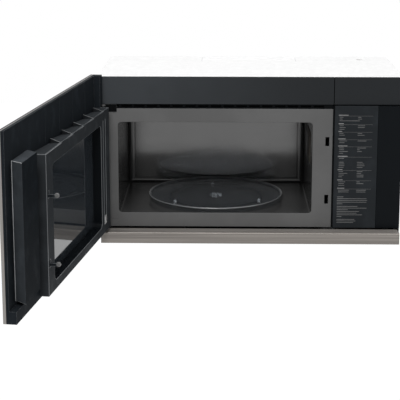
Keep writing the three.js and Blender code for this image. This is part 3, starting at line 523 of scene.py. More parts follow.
@dataclass(frozen=True)
class DarkGlass(Finish):
    """Black-printed glass: a dot screen shows in its window, under a polished face."""

    window: tuple[float, float, float, float] = (0.0, 0.0, 0.0, 0.0)
    pitch: float = 0.0022
    turn: float = 0.0
    pivot: Point = (0.0, 0.0, 0.0)
    smear: float = 0.08
    haze: float = 0.2

    def paint(self, board: Board) -> None:
        """Adds the wipe marks, the haze and the dots.

        Args:
            board: the finish's board.
        """
        smear = board.fit(board.noise(self.smear, 5.0), 0.45, 0.75, 0.0, 0.06)
        tone = board.vary(board.noise(self.haze, 2.0), self.colour, 0.08)
        if any(self.window):
            tone = board.tint(self.dots(board) * 0.8, tone, shade(self.colour, 2.2))
        board.set(Base_Color=tone, Roughness=smear + self.roughness)

    def dots(self, board: Board) -> Signal:
        """Returns the dots of the screen, in the window of the door before it was swung open.

        Args:
            board: the finish's board.

        Returns:
            1 on a dot, and 0 between them and past the window's edge.
        """
        left, right, low, high = self.window
        centre = Vector(self.pivot)
        move = centre - Matrix.Rotation(self.turn, 3, "Z") @ centre
        place = board.place(Location=move, Rotation=(0, 0, self.turn))
        along, up = board.part(Axis.X, place), board.part(Axis.Z, place)
        inside = ((right - left) / 2 - (along - (left + right) / 2).size()).least(
            (high - low) / 2 - (up - (low + high) / 2).size())
        spot = along.repeat(self.pitch) + up.repeat(self.pitch)
        return board.fit(inside, 0.0, 0.002) * board.fit(spot, self.pitch * 0.3, self.pitch * 0.6)


@dataclass(frozen=True)
class WireMesh(Finish):
    """Layered expanded mesh: crossed strands over dark gaps."""

    pitch: float = 0.0034
    metallic: float = 0.85
    stretch: float = 1.7
    grease: float = 0.05

    def paint(self, board: Board) -> None:
        """Adds the strands, and the grease on them.

        Args:
            board: the finish's board.
        """
        across, along = board.part(Axis.X), board.part(Axis.Y) * self.stretch
        strand = (across + along).repeat(self.pitch).least((across - along).repeat(self.pitch))
        height = board.fit(strand, 0.0, self.pitch * 0.32, 1.0, 0.0)
        board.set(Base_Color=board.tint(height, shade(self.colour, 0.16), self.colour),
                  Metallic=height * self.metallic, Normal=board.relief(height, 0.0008),
                  Roughness=self.rough((board.noise(self.grease, 4.0), 0.2)))


@dataclass(frozen=True)
class Circuitry(Finish):
    """Printed board with copper runs under its lacquer."""

    runs: tuple[float, float] = (0.006, 0.009)
    patch: float = 0.016

    def paint(self, board: Board) -> None:
        """Adds the runs, which stop in patches, and the lacquer's unevenness.

        Args:
            board: the finish's board.
        """
        runs = board.part(Axis.Z).repeat(self.runs[0]).least(board.part(Axis.X).repeat(self.runs[1]))
        mask = board.fit(runs, 0.0006, 0.0009, 1.0, 0.0) * board.fit(board.cells(self.patch), 0.35, 0.4)
        board.set(Base_Color=board.tint(mask * 0.6, self.colour, shade(self.colour, 1.5)),
                  Roughness=self.rough((board.noise(0.01), 0.1)), Normal=board.relief(mask, 0.00005))


@dataclass(frozen=True)
class Laminated(Finish):
    """A stack of lacquered iron sheets."""

    sheet: float = 0.0012
    rust: Colour = (0.42, 0.25, 0.15)

    def paint(self, board: Board) -> None:
        """Adds the lines between the sheets, and rust.

        Args:
            board: the finish's board.
        """
        line = board.fit(board.part(Axis.Y).repeat(self.sheet), 0.0, self.sheet * 0.2, 1.0, 0.0)
        rust = board.fit(board.noise(0.02, 5.0), 0.5, 0.7, 0.0, 0.5)
        tone = board.tint(line, self.colour, shade(self.colour, 0.45))
        board.set(Base_Color=board.tint(rust, tone, self.rust), Metallic=0.5,
                  Roughness=self.roughness + rust * 0.3, Normal=board.relief(1 - line, 0.0002))


@dataclass(frozen=True)
class Granular(Finish):
    """A filter pad of granules held behind a fine net."""

    granule: float = 0.0035
    net: float = 0.004

    def paint(self, board: Board) -> None:
        """Adds the granules and the net.

        Args:
            board: the finish's board.
        """
        grains = board.cells(self.granule)
        net = board.part(Axis.X).repeat(self.net).least(board.part(Axis.Y).repeat(self.net))
        line = board.fit(net, 0.0, 0.0006, 1.0, 0.0)
        pad = board.tint(grains, shade(self.colour, 0.6), shade(self.colour, 1.3))
        board.set(Base_Color=board.tint(line, pad, shade(self.colour, 2.0)),
                  Roughness=self.rough((grains, 0.2)), Normal=board.relief(line + grains, 0.0006))


# ---- Meshes in the making ----


def corners(points: Iterable[Vector]) -> tuple[Vector, Vector]:
    """Returns the lowest and the highest corner round some points."""
    axes = list(zip(*points))
    return Vector([min(axis) for axis in axes]), Vector([max(axis) for axis in axes])


def rise(edge: bmesh.types.BMEdge, axis: Axis = Axis.Z) -> float:
    """Returns how far an edge runs along an axis."""
    return abs(edge.verts[0].co[axis.value] - edge.verts[1].co[axis.value])


class Shape:
    """A mesh in the making, shaped with bmesh operators."""

    def __init__(self) -> None:
        """Starts an empty mesh."""
        self.mesh = bmesh.new()

    @classmethod
    def of_node(cls, node: str) -> "Shape":
        """Copies a node's solid, its triangles merged and its flat faces joined.

        Args:
            node: the node's name.

        Returns:
            The new shape.
        """
        shape = cls()
        shape.mesh.from_mesh(frame["nodes"][node].data)
        bmesh.ops.remove_doubles(shape.mesh, verts=shape.mesh.verts[:], dist=1e-6)
        return shape.join_flat()

    def join_flat(self) -> "Shape":
        """Joins faces that lie flat beside each other."""
        bmesh.ops.dissolve_limit(self.mesh, angle_limit=FLAT_ANGLE, verts=self.mesh.verts[:],
                                 edges=self.mesh.edges[:], use_dissolve_boundaries=False)
        return self

    def round_edges(self, edges: Iterable[bmesh.types.BMEdge], width: float, segments: int = 2,
                    clamp: bool = True) -> None:
        """Rounds edges, and marks the new faces as edge faces.

        Args:
            edges: the edges.
            width: how wide the rounding is.
            segments: how many strips it has.
            clamp: whether the width shrinks where roundings would meet.
        """
        made = bmesh.ops.bevel(self.mesh, geom=list(edges), offset=width, segments=segments, profile=0.5,
                               affect="EDGES", clamp_overlap=clamp, material=-1)
        for face in made["faces"]:
            face.material_index = 1

    def soften(self, width: float, segments: int = 2, sharp: float = 40.0, least: float = 0.0,
               clamp: bool = True) -> "Shape":
        """Rounds the sharp edges.

        Args:
            width: how wide the rounding is.
            segments: how many strips it has.
            sharp: the angle, in degrees, above which an edge is rounded.
            least: the length of the shortest edge that is rounded.
            clamp: whether the width shrinks where roundings would meet.

        Returns:
            The shape.
        """
        limit = math.radians(sharp)
        chosen = [edge for edge in self.mesh.edges if len(edge.link_faces) == 2
                  and edge.calc_face_angle(0.0) > limit and edge.calc_length() >= least]
        self.round_edges(chosen, width, segments, clamp)
        return self

    def slab(self, low: Point, high: Point, edge: float = 0.0) -> "Shape":
        """Adds a block.

        Args:
            low: its lowest corner.
            high: its highest corner.
            edge: how wide its edges are rounded.

        Returns:
            The shape.
        """
        verts = bmesh.ops.create_cube(self.mesh, size=1.0)["verts"]
        low, high = Vector(low), Vector(high)
        bmesh.ops.scale(self.mesh, verts=verts, vec=high - low)
        bmesh.ops.translate(self.mesh, verts=verts, vec=(low + high) / 2)
        if edge:
            self.round_edges({e for v in verts for e in v.link_edges}, edge)
        return self

    def line(self, points: Iterable[Point]) -> tuple[list[bmesh.types.BMVert], list[bmesh.types.BMEdge]]:
        """Adds a line of edges through some points."""
        verts = [self.mesh.verts.new(point) for point in points]
        return verts, [self.mesh.edges.new(pair) for pair in zip(verts, verts[1:])]

    def prism(self, outline: Sequence[Point], along: Point, edge: float = 0.0) -> "Shape":
        """Adds a flat outline drawn out along a vector.

        Args:
            outline: its points in order.
            along: the vector.
            edge: how wide its edges are rounded.

        Returns:
            The shape.
        """
        face = self.mesh.faces.new([self.mesh.verts.new(point) for point in outline])
        drawn = bmesh.ops.extrude_face_region(self.mesh, geom=[face])["geom"]
        far = [item for item in drawn if isinstance(item, bmesh.types.BMVert)]
        bmesh.ops.translate(self.mesh, verts=far, vec=Vector(along))
        faces = {f for v in (*far, *face.verts) for f in v.link_faces}
        bmesh.ops.recalc_face_normals(self.mesh, faces=list(faces))
        if edge:
            self.round_edges({e for f in faces for e in f.edges}, edge)
        return self

    def folded(self, path: Sequence[Point], along: Point, wall: float) -> "Shape":
        """Adds a sheet that follows a path.

        Args:
            path: the points of the path.
            along: the vector along which the path is drawn out.
            wall: how thick the sheet is.

        Returns:
            The shape.
        """
        drawn = bmesh.ops.extrude_edge_only(self.mesh, edges=self.line(path)[1])["geom"]
        bmesh.ops.translate(self.mesh, vec=Vector(along),
                            verts=[item for item in drawn if isinstance(item, bmesh.types.BMVert)])
        bmesh.ops.solidify(self.mesh, geom=[item for item in drawn if isinstance(item, bmesh.types.BMFace)],
                           thickness=wall)
        return self

    def turned(self, profile: Sequence[tuple[float, float]], centre: Point, axis: Axis = Axis.Z,
               steps: int = 48) -> "Shape":
        """Adds a profile turned once round an axis.

        Args:
            profile: radius and height of each point.
            centre: the place of height zero on the axis.
            axis: the axis that it turns round.
            steps: how many facets the turn has.

        Returns:
            The shape.
        """
        before = set(self.mesh.verts)
        start, edges = self.line((radius, 0.0, height) for radius, height in profile)
        bmesh.ops.spin(self.mesh, geom=start + edges, cent=(0, 0, 0), axis=(0, 0, 1), dvec=(0, 0, 0),
                       angle=math.tau, steps=steps, use_merge=True, use_duplicate=False)
        verts = [vert for vert in self.mesh.verts if vert not in before]
        bmesh.ops.remove_doubles(self.mesh, verts=verts, dist=1e-7)
        verts = [vert for vert in self.mesh.verts if vert not in before]
        bmesh.ops.recalc_face_normals(self.mesh, faces=list({f for v in verts for f in v.link_faces}))
        place = Matrix.Translation(Vector(centre)) @ axis.turn()
        bmesh.ops.transform(self.mesh, matrix=place, verts=verts)
        return self

    def rod(self, radius: float, start: Point, length: float, axis: Axis, steps: int = 24,
            edge: float = 0.0) -> "Shape":
        """Adds a rod.

        Args:
            radius: its radius.
            start: the middle of its lower end.
            length: its length.
            axis: the axis along which it runs.
            steps: how many facets it has.
            edge: how wide its ends are rounded.

        Returns:
            The shape.
        """
        lip = min(edge, radius * 0.45)
        profile = [(0, 0), (radius, 0), (radius, length), (0, length)]
        if lip:
            profile[1:3] = [(radius - lip, 0), (radius, lip), (radius, length - lip), (radius - lip, length)]
        return self.turned(profile, start, axis, steps)

    def move(self, matrix: Matrix) -> "Shape":
        """Moves the whole shape.

        Args:
            matrix: the move.

        Returns:
            The shape.
        """
        bmesh.ops.transform(self.mesh, matrix=matrix, verts=self.mesh.verts[:])
        self.mesh.normal_update()
        return self

    def mark(self, chosen: Callable[[bmesh.types.BMFace], bool], place: int = 1) -> "Shape":
        """Gives some faces another finish.

        Args:
            chosen: says whether a face is one of them.
            place: the place of the finish in the piece's list.

        Returns:
            The shape.
        """
        self.mesh.normal_update()
        for face in filter(chosen, self.mesh.faces):
            face.material_index = place
        return self

    def join(self, other: "Shape") -> "Shape":
        """Adds another shape, which is used up.

        Args:
            other: the other shape.

        Returns:
            The shape.
        """
        data = bpy.data.meshes.new("passing")
        other.mesh.to_mesh(data)
        other.mesh.free()
        self.mesh.from_mesh(data)
        bpy.data.meshes.remove(data)
        return self

    def carve(self, *tools: "Shape") -> "Shape":
        """Takes other closed shapes out of this one.

        Args:
            tools: the shapes that are taken out.

        Returns:
            The shape.
        """
        body, *cutters = [shape.as_object("passing") for shape in (self, *tools)]
        for cutter in cutters:
            step = body.modifiers.new("cut", "BOOLEAN")
            step.operation, step.solver, step.object = "DIFFERENCE", "EXACT", cutter
        bpy.context.view_layer.update()
        found = body.evaluated_get(bpy.context.evaluated_depsgraph_get())
        self.mesh.clear()
        self.mesh.from_mesh(found.data)
        for item in (body, *cutters):
            data = item.data
            bpy.data.objects.remove(item)
            bpy.data.meshes.remove(data)
        return self.join_flat()

    def as_object(self, name: str) -> bpy.types.Object:
        """Makes an object of the shape.

        Args:
            name: its name.

        Returns:
            The object, in the scene.
        """
        data = bpy.data.meshes.new(name)
        self.mesh.to_mesh(data)
        item = bpy.data.objects.new(name, data)
        bpy.context.scene.collection.objects.link(item)
        return item

    def piece(self, name: str, finish: Finish, like: str, rim: Optional[Finish] = None,
              side: Optional[Finish] = None, crease: float = 42.0, nodes: Sequence[str] = ()) -> None:
        """Makes the shape a piece of the object.

        Args:
            name: the piece's name.
            finish: its finish.
            like: the node whose body it rides on.
            rim: the finish of its edge faces, where it isn't the same.
            side: the finish of faces that are marked as sides.
            crease: the angle, in degrees, above which an edge stays sharp.
            nodes: the solids that it stands for.
        """
        for face in self.mesh.faces:
            face.smooth = True
            face.material_index = face.material_index if rim else 0
        limit = math.radians(crease)
        for edge in self.mesh.edges:
            edge.smooth = len(edge.link_faces) != 2 or edge.calc_face_angle(0.0) < limit
        item = self.as_object(name)
        self.mesh.free()
        for used in filter(None, (finish, rim, side)):
            item.data.materials.append(used.material())
        item.modifiers.new("even shading", "WEIGHTED_NORMAL").keep_sharp = True
        body, slot = frame["nodes"][like]["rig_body"], NODE_SLOTS[like]
        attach(item, body)
        if nodes:
            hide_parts(*nodes)
        log.info("%s: %d faces, on %s", name, len(item.data.polygons), body)


def renew(node: str, finish: Finish, shape: Shape, rim: Optional[Finish] = None,
          side: Optional[Finish] = None, crease: float = 42.0) -> None:
    """Puts a new piece in a node's place, on its body.

    Args:
        node: the solid that the piece stands for.
        finish: the piece's finish.
        shape: its mesh.
        rim: the finish of its edge faces, where it isn't the same.
        side: the finish of faces that are marked as sides.
        crease: the angle, in degrees, above which an edge stays sharp.
    """
    shape.piece(f"{node}_body", finish, node, rim, side, crease, [node])


def soft(node: str, finish: Finish, width: float = 0.0008, segments: int = 2, least: float = 0.0,
         rim: Optional[Finish] = None) -> None:
    """Puts a copy of a node's solid in its place, its edges rounded."""
    renew(node, finish, Shape.of_node(node).soften(width, segments, least=least), rim)


# ---- The finishes of this oven ----

WRAP_ZINC = Galvanised("light zinc sheet", grey(246), 0.45, spangle=0.008, contrast=0.018)
# The wrap's sides are a darker copy of the light zinc: painted shade.
WRAP_SIDE_PAINTED_SHADE = Galvanised("zinc side painted shade", grey(205, -1), 0.42, spangle=0.008)
ZINC = Galvanised("zinc sheet", grey(172, -1), 0.4, spangle=0.009)
BASE_PAINT = CoatedSheet("base paint", grey(84), 0.5, 0.3)
# The fascia's colour falls to 0.68 of itself from left to right: painted shade.
FASCIA = CoatedSheet("fascia coat", grey(64, -3), 0.4, 0.06, drift=0.03, painted_shade_ramp=(-0.38, 0.2, 0.68))
FRAME_PAINT = CoatedSheet("face frame paint", grey(98), 0.5, 0.1, drift=0.03)
RAIL = Moulded("slot rail plastic", grey(11, -2), 0.6, 0.05)
GUIDE = Moulded("guide panel plastic", grey(42, -3), 0.5, 0.06, grain=0.0005)
GUIDE_BAR = Moulded("guide bar ink", grey(122), 0.6, 0.1)
GUIDE_HEAD = Moulded("guide heading ink", grey(152), 0.6, 0.1)
GLOSS = CoatedSheet("dark panel gloss", grey(20, -3), 0.2, 0.05, drift=0.03)
STRIP = Brushed("brushed strip steel", grey(128, 5), 0.45, metallic=0.5)
# The strip's top ledge is a lighter copy of the strip steel: painted light.
STRIP_LEDGE_PAINTED_LIGHT = Brushed("strip ledge painted light", grey(150, 5), 0.45, metallic=0.5)
OVEN = OvenSteel("oven steel", grey(102), 0.15)
# The floor and side walls are a darker, less metallic copy of the oven steel: painted shade.
OVEN_FLOOR_PAINTED_SHADE = OvenSteel("oven floor painted shade", grey(88), 0.2, metallic=0.45)
TRAY_GLASS = ClearGlass("tray glass", grey(236, -3), 0.01, 0.5, index=1.4, clear=0.8)
# The tray's rim band and lugs are an opaque grey: painted highlight of the glass.
TRAY_RIM_PAINTED_HIGHLIGHT = Moulded("tray rim painted highlight", grey(122, -2), 0.12, 0.7, grain=0.004)
LENS_GLASS = ClearGlass("lens glass", grey(235), 0.12, 0.5)
NYLON = Moulded("white nylon", grey(225, 2), 0.25, 0.7)
BLACK = Moulded("black plastic", grey(38, -4), 0.6, 0.015)
HOUSING = Moulded("touch housing plastic", grey(28, -4), 0.62, 0.015)
# A lighter copy of the housing plastic, on its grip side and top and on the ribs' edges: painted light.
HOUSING_PAINTED_LIGHT = Moulded("touch housing painted light", grey(66, -4), 0.55, 0.05)
CHOKE = Moulded("choke cover plastic", grey(56, -3), 0.6, 0.02)
# Light grey on rounded edges: painted highlight.
PAINTED_EDGE_HIGHLIGHT = Moulded("painted edge highlight", grey(112, -3), 0.3, 0.5, grain=0.002)
# Brighter grey on fin tops and on the housing's edges and lip: painted highlight.
FIN_PAINTED_HIGHLIGHT = Moulded("fin painted highlight", grey(170, -2), 0.3, 0.5, grain=0.002)
GROUND = Moulded("ground glass edge", grey(16, -1), 0.7, 0.01)
PANE = DarkGlass("window pane glass", grey(26, -3), 0.03, 0.8)
LATCH = Moulded("latch plastic", grey(112), 0.3, 0.5)
DOOR_TRIM = Brushed("door edge metal", grey(138, 3), 0.3, along=Axis.Z, contrast=0.06)
HINGE = CoatedSheet("hinge coat", grey(12, -1), 0.5, 0.03)
STEEL = Brushed("bright pin steel", grey(215), 0.25, along=Axis.Z, contrast=0.05, metallic=0.6)
CLIP_STEEL = Brushed("clip steel", grey(205), 0.3, along=Axis.Z, metallic=0.6)
SCREEN = WireMesh("door screen mesh", grey(120), 0.4, pitch=0.0022)
FILTER = WireMesh("grease filter mesh", grey(170), 0.35)
MICA = Moulded("mica sheet", (0.31, 0.29, 0.26), 0.55, 0.15, grain=0.003, depth=0.0001)
PCB = Circuitry("power board lacquer", (0.13, 0.33, 0.2), 0.35)
IRON = Laminated("lacquered iron", (0.3, 0.26, 0.23), 0.5)
CARBON = Granular("charcoal pad", grey(40), 0.8, 0.1)


# ---- Sub-assemblies ----


@dataclass
class CabinetShell:
    """The zinc wrap, the wall plate and the base of the cabinet."""

    edge: float = 0.0003
    outlet: tuple[float, float] = (0.254, 0.076)
    outlet_middle: float = -0.062
    flap_gap: float = 0.0004
    flap_wall: float = 0.0007
    pin: float = 0.0004
    pin_length: float = 0.024
    pin_place: float = 0.09
    screw_head: float = 0.0042
    screw_rise: float = 0.0003
    screw_places: tuple = ((-0.02, -0.15), (-0.02, 0.0), (-0.02, 0.15), (-0.19, -0.195), (-0.34, -0.195))

    def build(self) -> None:
        """Builds the shell."""
        wrap = Shape.of_node("cabinet_wrap").soften(self.edge, least=0.02)
        # The sides take the darker zinc: painted shade.
        renew("cabinet_wrap", WRAP_ZINC, wrap.mark(lambda face: abs(face.normal.x) > 0.9), WRAP_SIDE_PAINTED_SHADE)
        soft("rear_plate", ZINC, self.edge, least=0.02)
        soft("base_plate", BASE_PAINT, self.edge, least=0.01)
        self.damper()
        soft("cord_bushing", NYLON)
        self.screws()

    def damper(self) -> None:
        """Hangs the two light damper flaps in the exhaust opening, just under the top sheet."""
        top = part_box("cabinet_wrap")[1].z - self.flap_gap
        half_width, half = self.outlet[0] / 2 - 0.0003, self.outlet[1] / 4 - self.flap_gap
        shape = Shape()
        for side in (-1, 1):
            middle = self.outlet_middle + side * self.outlet[1] / 4
            shape.slab((-half_width, middle - half, top - self.flap_wall), (half_width, middle + half, top),
                       0.0002)
            for place in (-self.pin_place, self.pin_place):
                start = (place - self.pin_length / 2, middle - side * (half - 0.002), top - 0.0003)
                shape.rod(self.pin, start, self.pin_length, Axis.X, 12)
        shape.piece("exhaust_dampers", WRAP_ZINC, "cabinet_wrap")

    def screws(self) -> None:
        """Drives the screws that hold the wrap to the wall plate and the base."""
        low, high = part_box("cabinet_wrap")
        shape = Shape()
        for side, x in ((-1, low.x), (1, high.x)):
            for y, z in self.screw_places:
                place = Matrix.Translation((x, y, z)) @ Matrix.Scale(side, 4, (1, 0, 0))
                shape.join(self.screw().move(place))
        bmesh.ops.recalc_face_normals(shape.mesh, faces=shape.mesh.faces[:])
        shape.piece("wrap_screws", STEEL, "rear_plate")

    def screw(self) -> Shape:
        """Turns one domed screw head, sunk so that it hardly stands out of the cabinet's side.

        Returns:
            The head, on the X axis.
        """
        head, dome = self.screw_head, self.screw_rise
        profile = [(0, 0.9), (head * 0.35, 0.9), (head * 0.4, 0.5), (head * 0.8, 0.4), (head, -0.1),
                   (head, -0.7), (0, -0.7)]
        return Shape().turned([(radius, height * dome) for radius, height in profile], (0, 0, 0), Axis.X, 18)


@dataclass(frozen=True)
class BarGroup:
    """One group of printed bars, in millimetres.

    It has how far down it starts, its heading's length and the two lengths of each row.
    """

    drop: float
    heading: float
    rows: tuple[tuple[float, float], ...]
    pitch: float = 4.5
    indent: float = 2.5


GUIDE_GROUPS = (
    BarGroup(22.5, 24, ((9, 8), (7, 10), (50, 0))),
    BarGroup(44, 13, ((10, 18), (15, 17), (12, 0))),
    BarGroup(63.5, 9, ((10, 11), (13, 17))),
    BarGroup(82.5, 18, ((19, 22), (13, 0))),
    BarGroup(100.5, 23, ((12, 21), (12, 6), (22, 11), (10, 0))),
    BarGroup(127, 24, ((13, 0),)),
    BarGroup(137, 0, ((12, 14), (14, 18), (14, 19), (12, 14))),
    BarGroup(161, 12, ((11, 14), (22, 11), (13, 17), (9, 17))),
    BarGroup(187.5, 13, ((17, 8), (14, 17), (15, 0))),
    BarGroup(209, 18, ((27, 24), (26, 23))),
    BarGroup(226.5, 0, ((16, 0), (74, 0), (76, 0), (74, 0), (14, 0)), indent=0),
    BarGroup(251, 0, ((52, 0), (75, 0), (28, 0), (56, 0), (50, 0), (64, 0), (12, 0)), 4.4, 0),
    BarGroup(285, 0, ((45, 0), (48, 0), (42, 0)), 4, 0),
)


@dataclass
class CabinetFront:
    """The fascia, the slotted rail, the face frame, the side panels and the bottom strip."""

    fascia_edge: float = 0.0011
    frame_edge: float = 0.0009
    panel_edge: float = 0.0014
    slot_width: float = 0.026
    slot_gap: float = 0.006
    slot_margins: tuple[float, float, float] = (0.003, 0.0028, 0.0015)
    bar_margins: tuple[float, float] = (0.0095, 0.0135)
    bar_column: float = 0.048
    bar_lead: float = 0.0052
    bar_rise: float = 0.00012
    bar_heights: tuple[float, float, float] = (0.0016, 0.0004, 0.0011)
    rule_drop: float = 0.0022
    strip_wall: float = 0.0015
    strip_radius: float = 0.0032
    strip_hem: float = 0.0155
    seal_depth: float = 0.004
    seal_lap: float = 0.003
    seal_edge: float = 0.0005

    def build(self) -> None:
        """Builds the front."""
        for node in ("fascia_left", "fascia_right"):
            soft(node, FASCIA, self.fascia_edge, 3, 0.01)
        soft("face_frame", FRAME_PAINT, self.frame_edge, 3)
        for node, finish in (("guide_panel", GUIDE), ("dark_panel", GLOSS)):
            soft(node, finish, self.panel_edge, 3, 0.004)
        self.rail()
        self.bars()
        self.strip()
        self.seals()

    def rail(self) -> None:
        """Cuts the row of air slots into the rail above the face frame."""
        low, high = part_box("air_slot_rail")
        below, above, behind = self.slot_margins
        bottom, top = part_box("face_frame")[1].z + below, high.z - above
        step = self.slot_width + self.slot_gap
        count = int((high.x - low.x - 0.02) / step)
        start = (low.x + high.x - count * step + self.slot_gap) / 2
        tools = [Shape().slab((x, low.y - 0.001, bottom), (x + self.slot_width, high.y - behind, top))
                 for x in (start + place * step for place in range(count))]
        renew("air_slot_rail", RAIL, Shape.of_node("air_slot_rail").carve(*tools).soften(0.0004, 1))

    def bars(self) -> None:
        """Prints the guide panel with plain bars in groups, where a maker would print words."""
        low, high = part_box("guide_panel")
        heads, lines = Shape(), Shape()
        left, right = low.x + self.bar_margins[0], high.x - self.bar_margins[1]
        middle = left + self.bar_column
        head_height, rule_height, bar_height = self.bar_heights
        for group in GUIDE_GROUPS:
            z = high.z - group.drop * MILLIMETRE
            if group.heading:
                self.bar(heads, left, group.heading * MILLIMETRE, z, head_height)
                self.bar(lines, left, right - left, z - self.rule_drop, rule_height)
            for row, (first, second) in enumerate(group.rows):
                place = z - self.bar_lead - row * group.pitch * MILLIMETRE
                self.bar(lines, left + group.indent * MILLIMETRE, first * MILLIMETRE, place, bar_height)
                if second:
                    self.bar(lines, middle, second * MILLIMETRE, place, bar_height)
        heads.piece("guide_headings", GUIDE_HEAD, "guide_panel")
        lines.piece("guide_bars", GUIDE_BAR, "guide_panel")

    def bar(self, shape: Shape, start: float, length: float, z: float, height: float) -> None:
        """Adds one printed bar, a hair's breadth proud of the panel.

        Args:
            shape: the shape that it is added to.
            start: the X of its left end.
            length: its length.
            z: the height of its middle.
            height: how high it is.
        """
        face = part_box("guide_panel")[0].y
        shape.slab((start, face - self.bar_rise, z - height / 2),
                   (start + length, face + self.bar_rise, z + height / 2))

    def strip(self) -> None:
        """Bends the bottom strip from one sheet, with a round front edge and rolled ends."""
        low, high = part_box("bottom_strip")
        wall, radius = self.strip_wall, self.strip_radius
        front, bottom, top = low.y + wall / 2, low.z + wall / 2, high.z - wall / 2
        bend = [(radius * math.sin(a), radius * math.cos(a)) for a in (math.pi / 8 * n for n in range(4))]
        path = [(low.x, front + self.strip_hem, bottom)]
        path += [(low.x, front + radius - across, bottom + radius - up) for across, up in bend]
        path.append((low.x, front, bottom + radius))
        path += [(low.x, front + radius - up, top - radius + across) for across, up in bend]
        path += [(low.x, front + radius, top), (low.x, high.y, top)]
        shape = Shape().folded(path, (high.x - low.x, 0, 0), wall)
        bmesh.ops.recalc_face_normals(shape.mesh, faces=shape.mesh.faces[:])
        for x, way in ((low.x + 0.0001, 1), (high.x - 0.0001, -1)):
            shape.prism([(x, *point[1:]) for point in path], (way * wall * 0.6, 0, 0))
        found_low, found_high = corners(vert.co for vert in shape.mesh.verts)
        bmesh.ops.translate(shape.mesh, verts=shape.mesh.verts[:],
                            vec=((low + high) - (found_low + found_high)) / 2)
        # The top ledge takes the lighter steel: painted light.
        shape.mark(lambda face: face.normal.z > 0.9)
        renew("bottom_strip", STRIP, shape, STRIP_LEDGE_PAINTED_LIGHT, crease=50)

    def seals(self) -> None:
        """Sticks dark foam behind the seams round the side panels and between the two fascia parts."""
        edge, panel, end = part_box("face_frame")[1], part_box("guide_panel"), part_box("dark_panel")[1]
        low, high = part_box("fascia_right")
        back, foam, lap = panel[1].y + 0.0004, self.seal_depth, self.seal_lap
        seam = (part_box("fascia_left")[1].x + low.x) / 2
        shape = Shape()
        for start, stop in (
                ((edge.x + 0.0003, back, panel[0].z), (panel[0].x + lap, back + foam, panel[1].z)),
                ((panel[0].x + lap, back, panel[1].z - lap), (end.x - 0.0005, back + foam, low.z - 0.0002)),
                ((seam - lap, high.y + 0.0002, low.z + 0.0005),
                 (seam + lap, high.y + 0.0002 + foam, high.z - 0.0015))):
            shape.slab(start, stop, self.seal_edge)
        shape.piece("panel_seals", RAIL, "air_slot_rail")


@dataclass
class OvenCavity:
    """The pressed liner with its rounded corners, the wave guide's cover and the lamp."""

    wall: float = 0.0012
    corner: float = 0.012
    roll: float = 0.006
    bead_inset: float = 0.004
    bead: float = 0.0026
    bead_depth: float = 0.0016
    floor_reach: float = 0.02
    vent_radius: float = 0.0024
    vent_pitch: float = 0.0075
    vent_rows: int = 6
    vent_columns: int = 9
    vent_start: tuple[float, float] = (0.024, 0.03)

    def build(self) -> None:
        """Builds the cavity."""
        self.liner()
        self.vents()
        soft("waveguide_cover", MICA, 0.0003)
        soft("waveguide", ZINC, 0.0006, least=0.004)
        soft("cavity_lamp", NYLON, least=0.003)

    def liner(self) -> None:
        """Presses the liner: round back corners, a rolled floor edge and a bead round the back wall."""
        low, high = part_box("cavity_liner")
        inner_low = low + Vector((self.wall, 0, self.wall))
        inner_high = high - Vector((self.wall, self.wall, self.wall))
        shape = Shape().slab(inner_low, inner_high)
        mesh = shape.mesh
        mouth = min(mesh.faces, key=lambda face: face.calc_center_median().y)
        bmesh.ops.delete(mesh, geom=[mouth], context="FACES_ONLY")
        shape.round_edges([edge for edge in mesh.edges if len(edge.link_faces) == 2 and rise(edge) > 0.1],
                          self.corner, 6)
        shape.round_edges([edge for edge in mesh.edges if len(edge.link_faces) == 2 and rise(edge) < 0.001
                           and edge.calc_face_angle(0.0) > 0.9], self.roll, 4)
        rear = [face for face in mesh.faces if face.normal.y ** 2 > 0.99
                and face.calc_center_median().y > inner_high.y - 0.002]
        back = max(rear, key=lambda face: face.calc_area())
        for inset, depth in ((self.bead_inset, 0.0), (self.bead / 2, self.bead_depth), (self.bead, 0.0),
                             (self.bead / 2, -self.bead_depth)):
            way = -1.0 if back.normal.y > 0 else 1.0
            bmesh.ops.inset_region(mesh, faces=[back], thickness=inset, depth=depth * way)
        bmesh.ops.solidify(mesh, geom=mesh.faces[:], thickness=-self.wall)
        bmesh.ops.recalc_face_normals(mesh, faces=mesh.faces[:])
        reach = inner_high.z - self.floor_reach
        # The floor, the side walls and the rounded corners take the darker, less metallic steel: painted
        # shade.
        shape.mark(lambda face: abs(face.normal.y) < 0.5 and face.calc_center_median().z < reach)
        renew("cavity_liner", OVEN, shape, OVEN_FLOOR_PAINTED_SHADE, crease=60)

    def vents(self) -> None:
        """Sets a field of small black discs in the wall beside the lamp: painted shade where air holes would
        show dark.
        """
        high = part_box("cavity_liner")[1]
        first_y, first_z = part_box("waveguide_cover")[1].y + self.vent_start[0], high.z - self.vent_start[1]
        shape = Shape()
        for row in range(self.vent_rows):
            for column in range(self.vent_columns):
                start = (high.x - self.wall - 0.0002, first_y + column * self.vent_pitch,
                         first_z - row * self.vent_pitch)
                shape.rod(self.vent_radius, start, 0.0004, Axis.X, 12)
        shape.piece("oven_vents", RAIL, "cavity_liner")


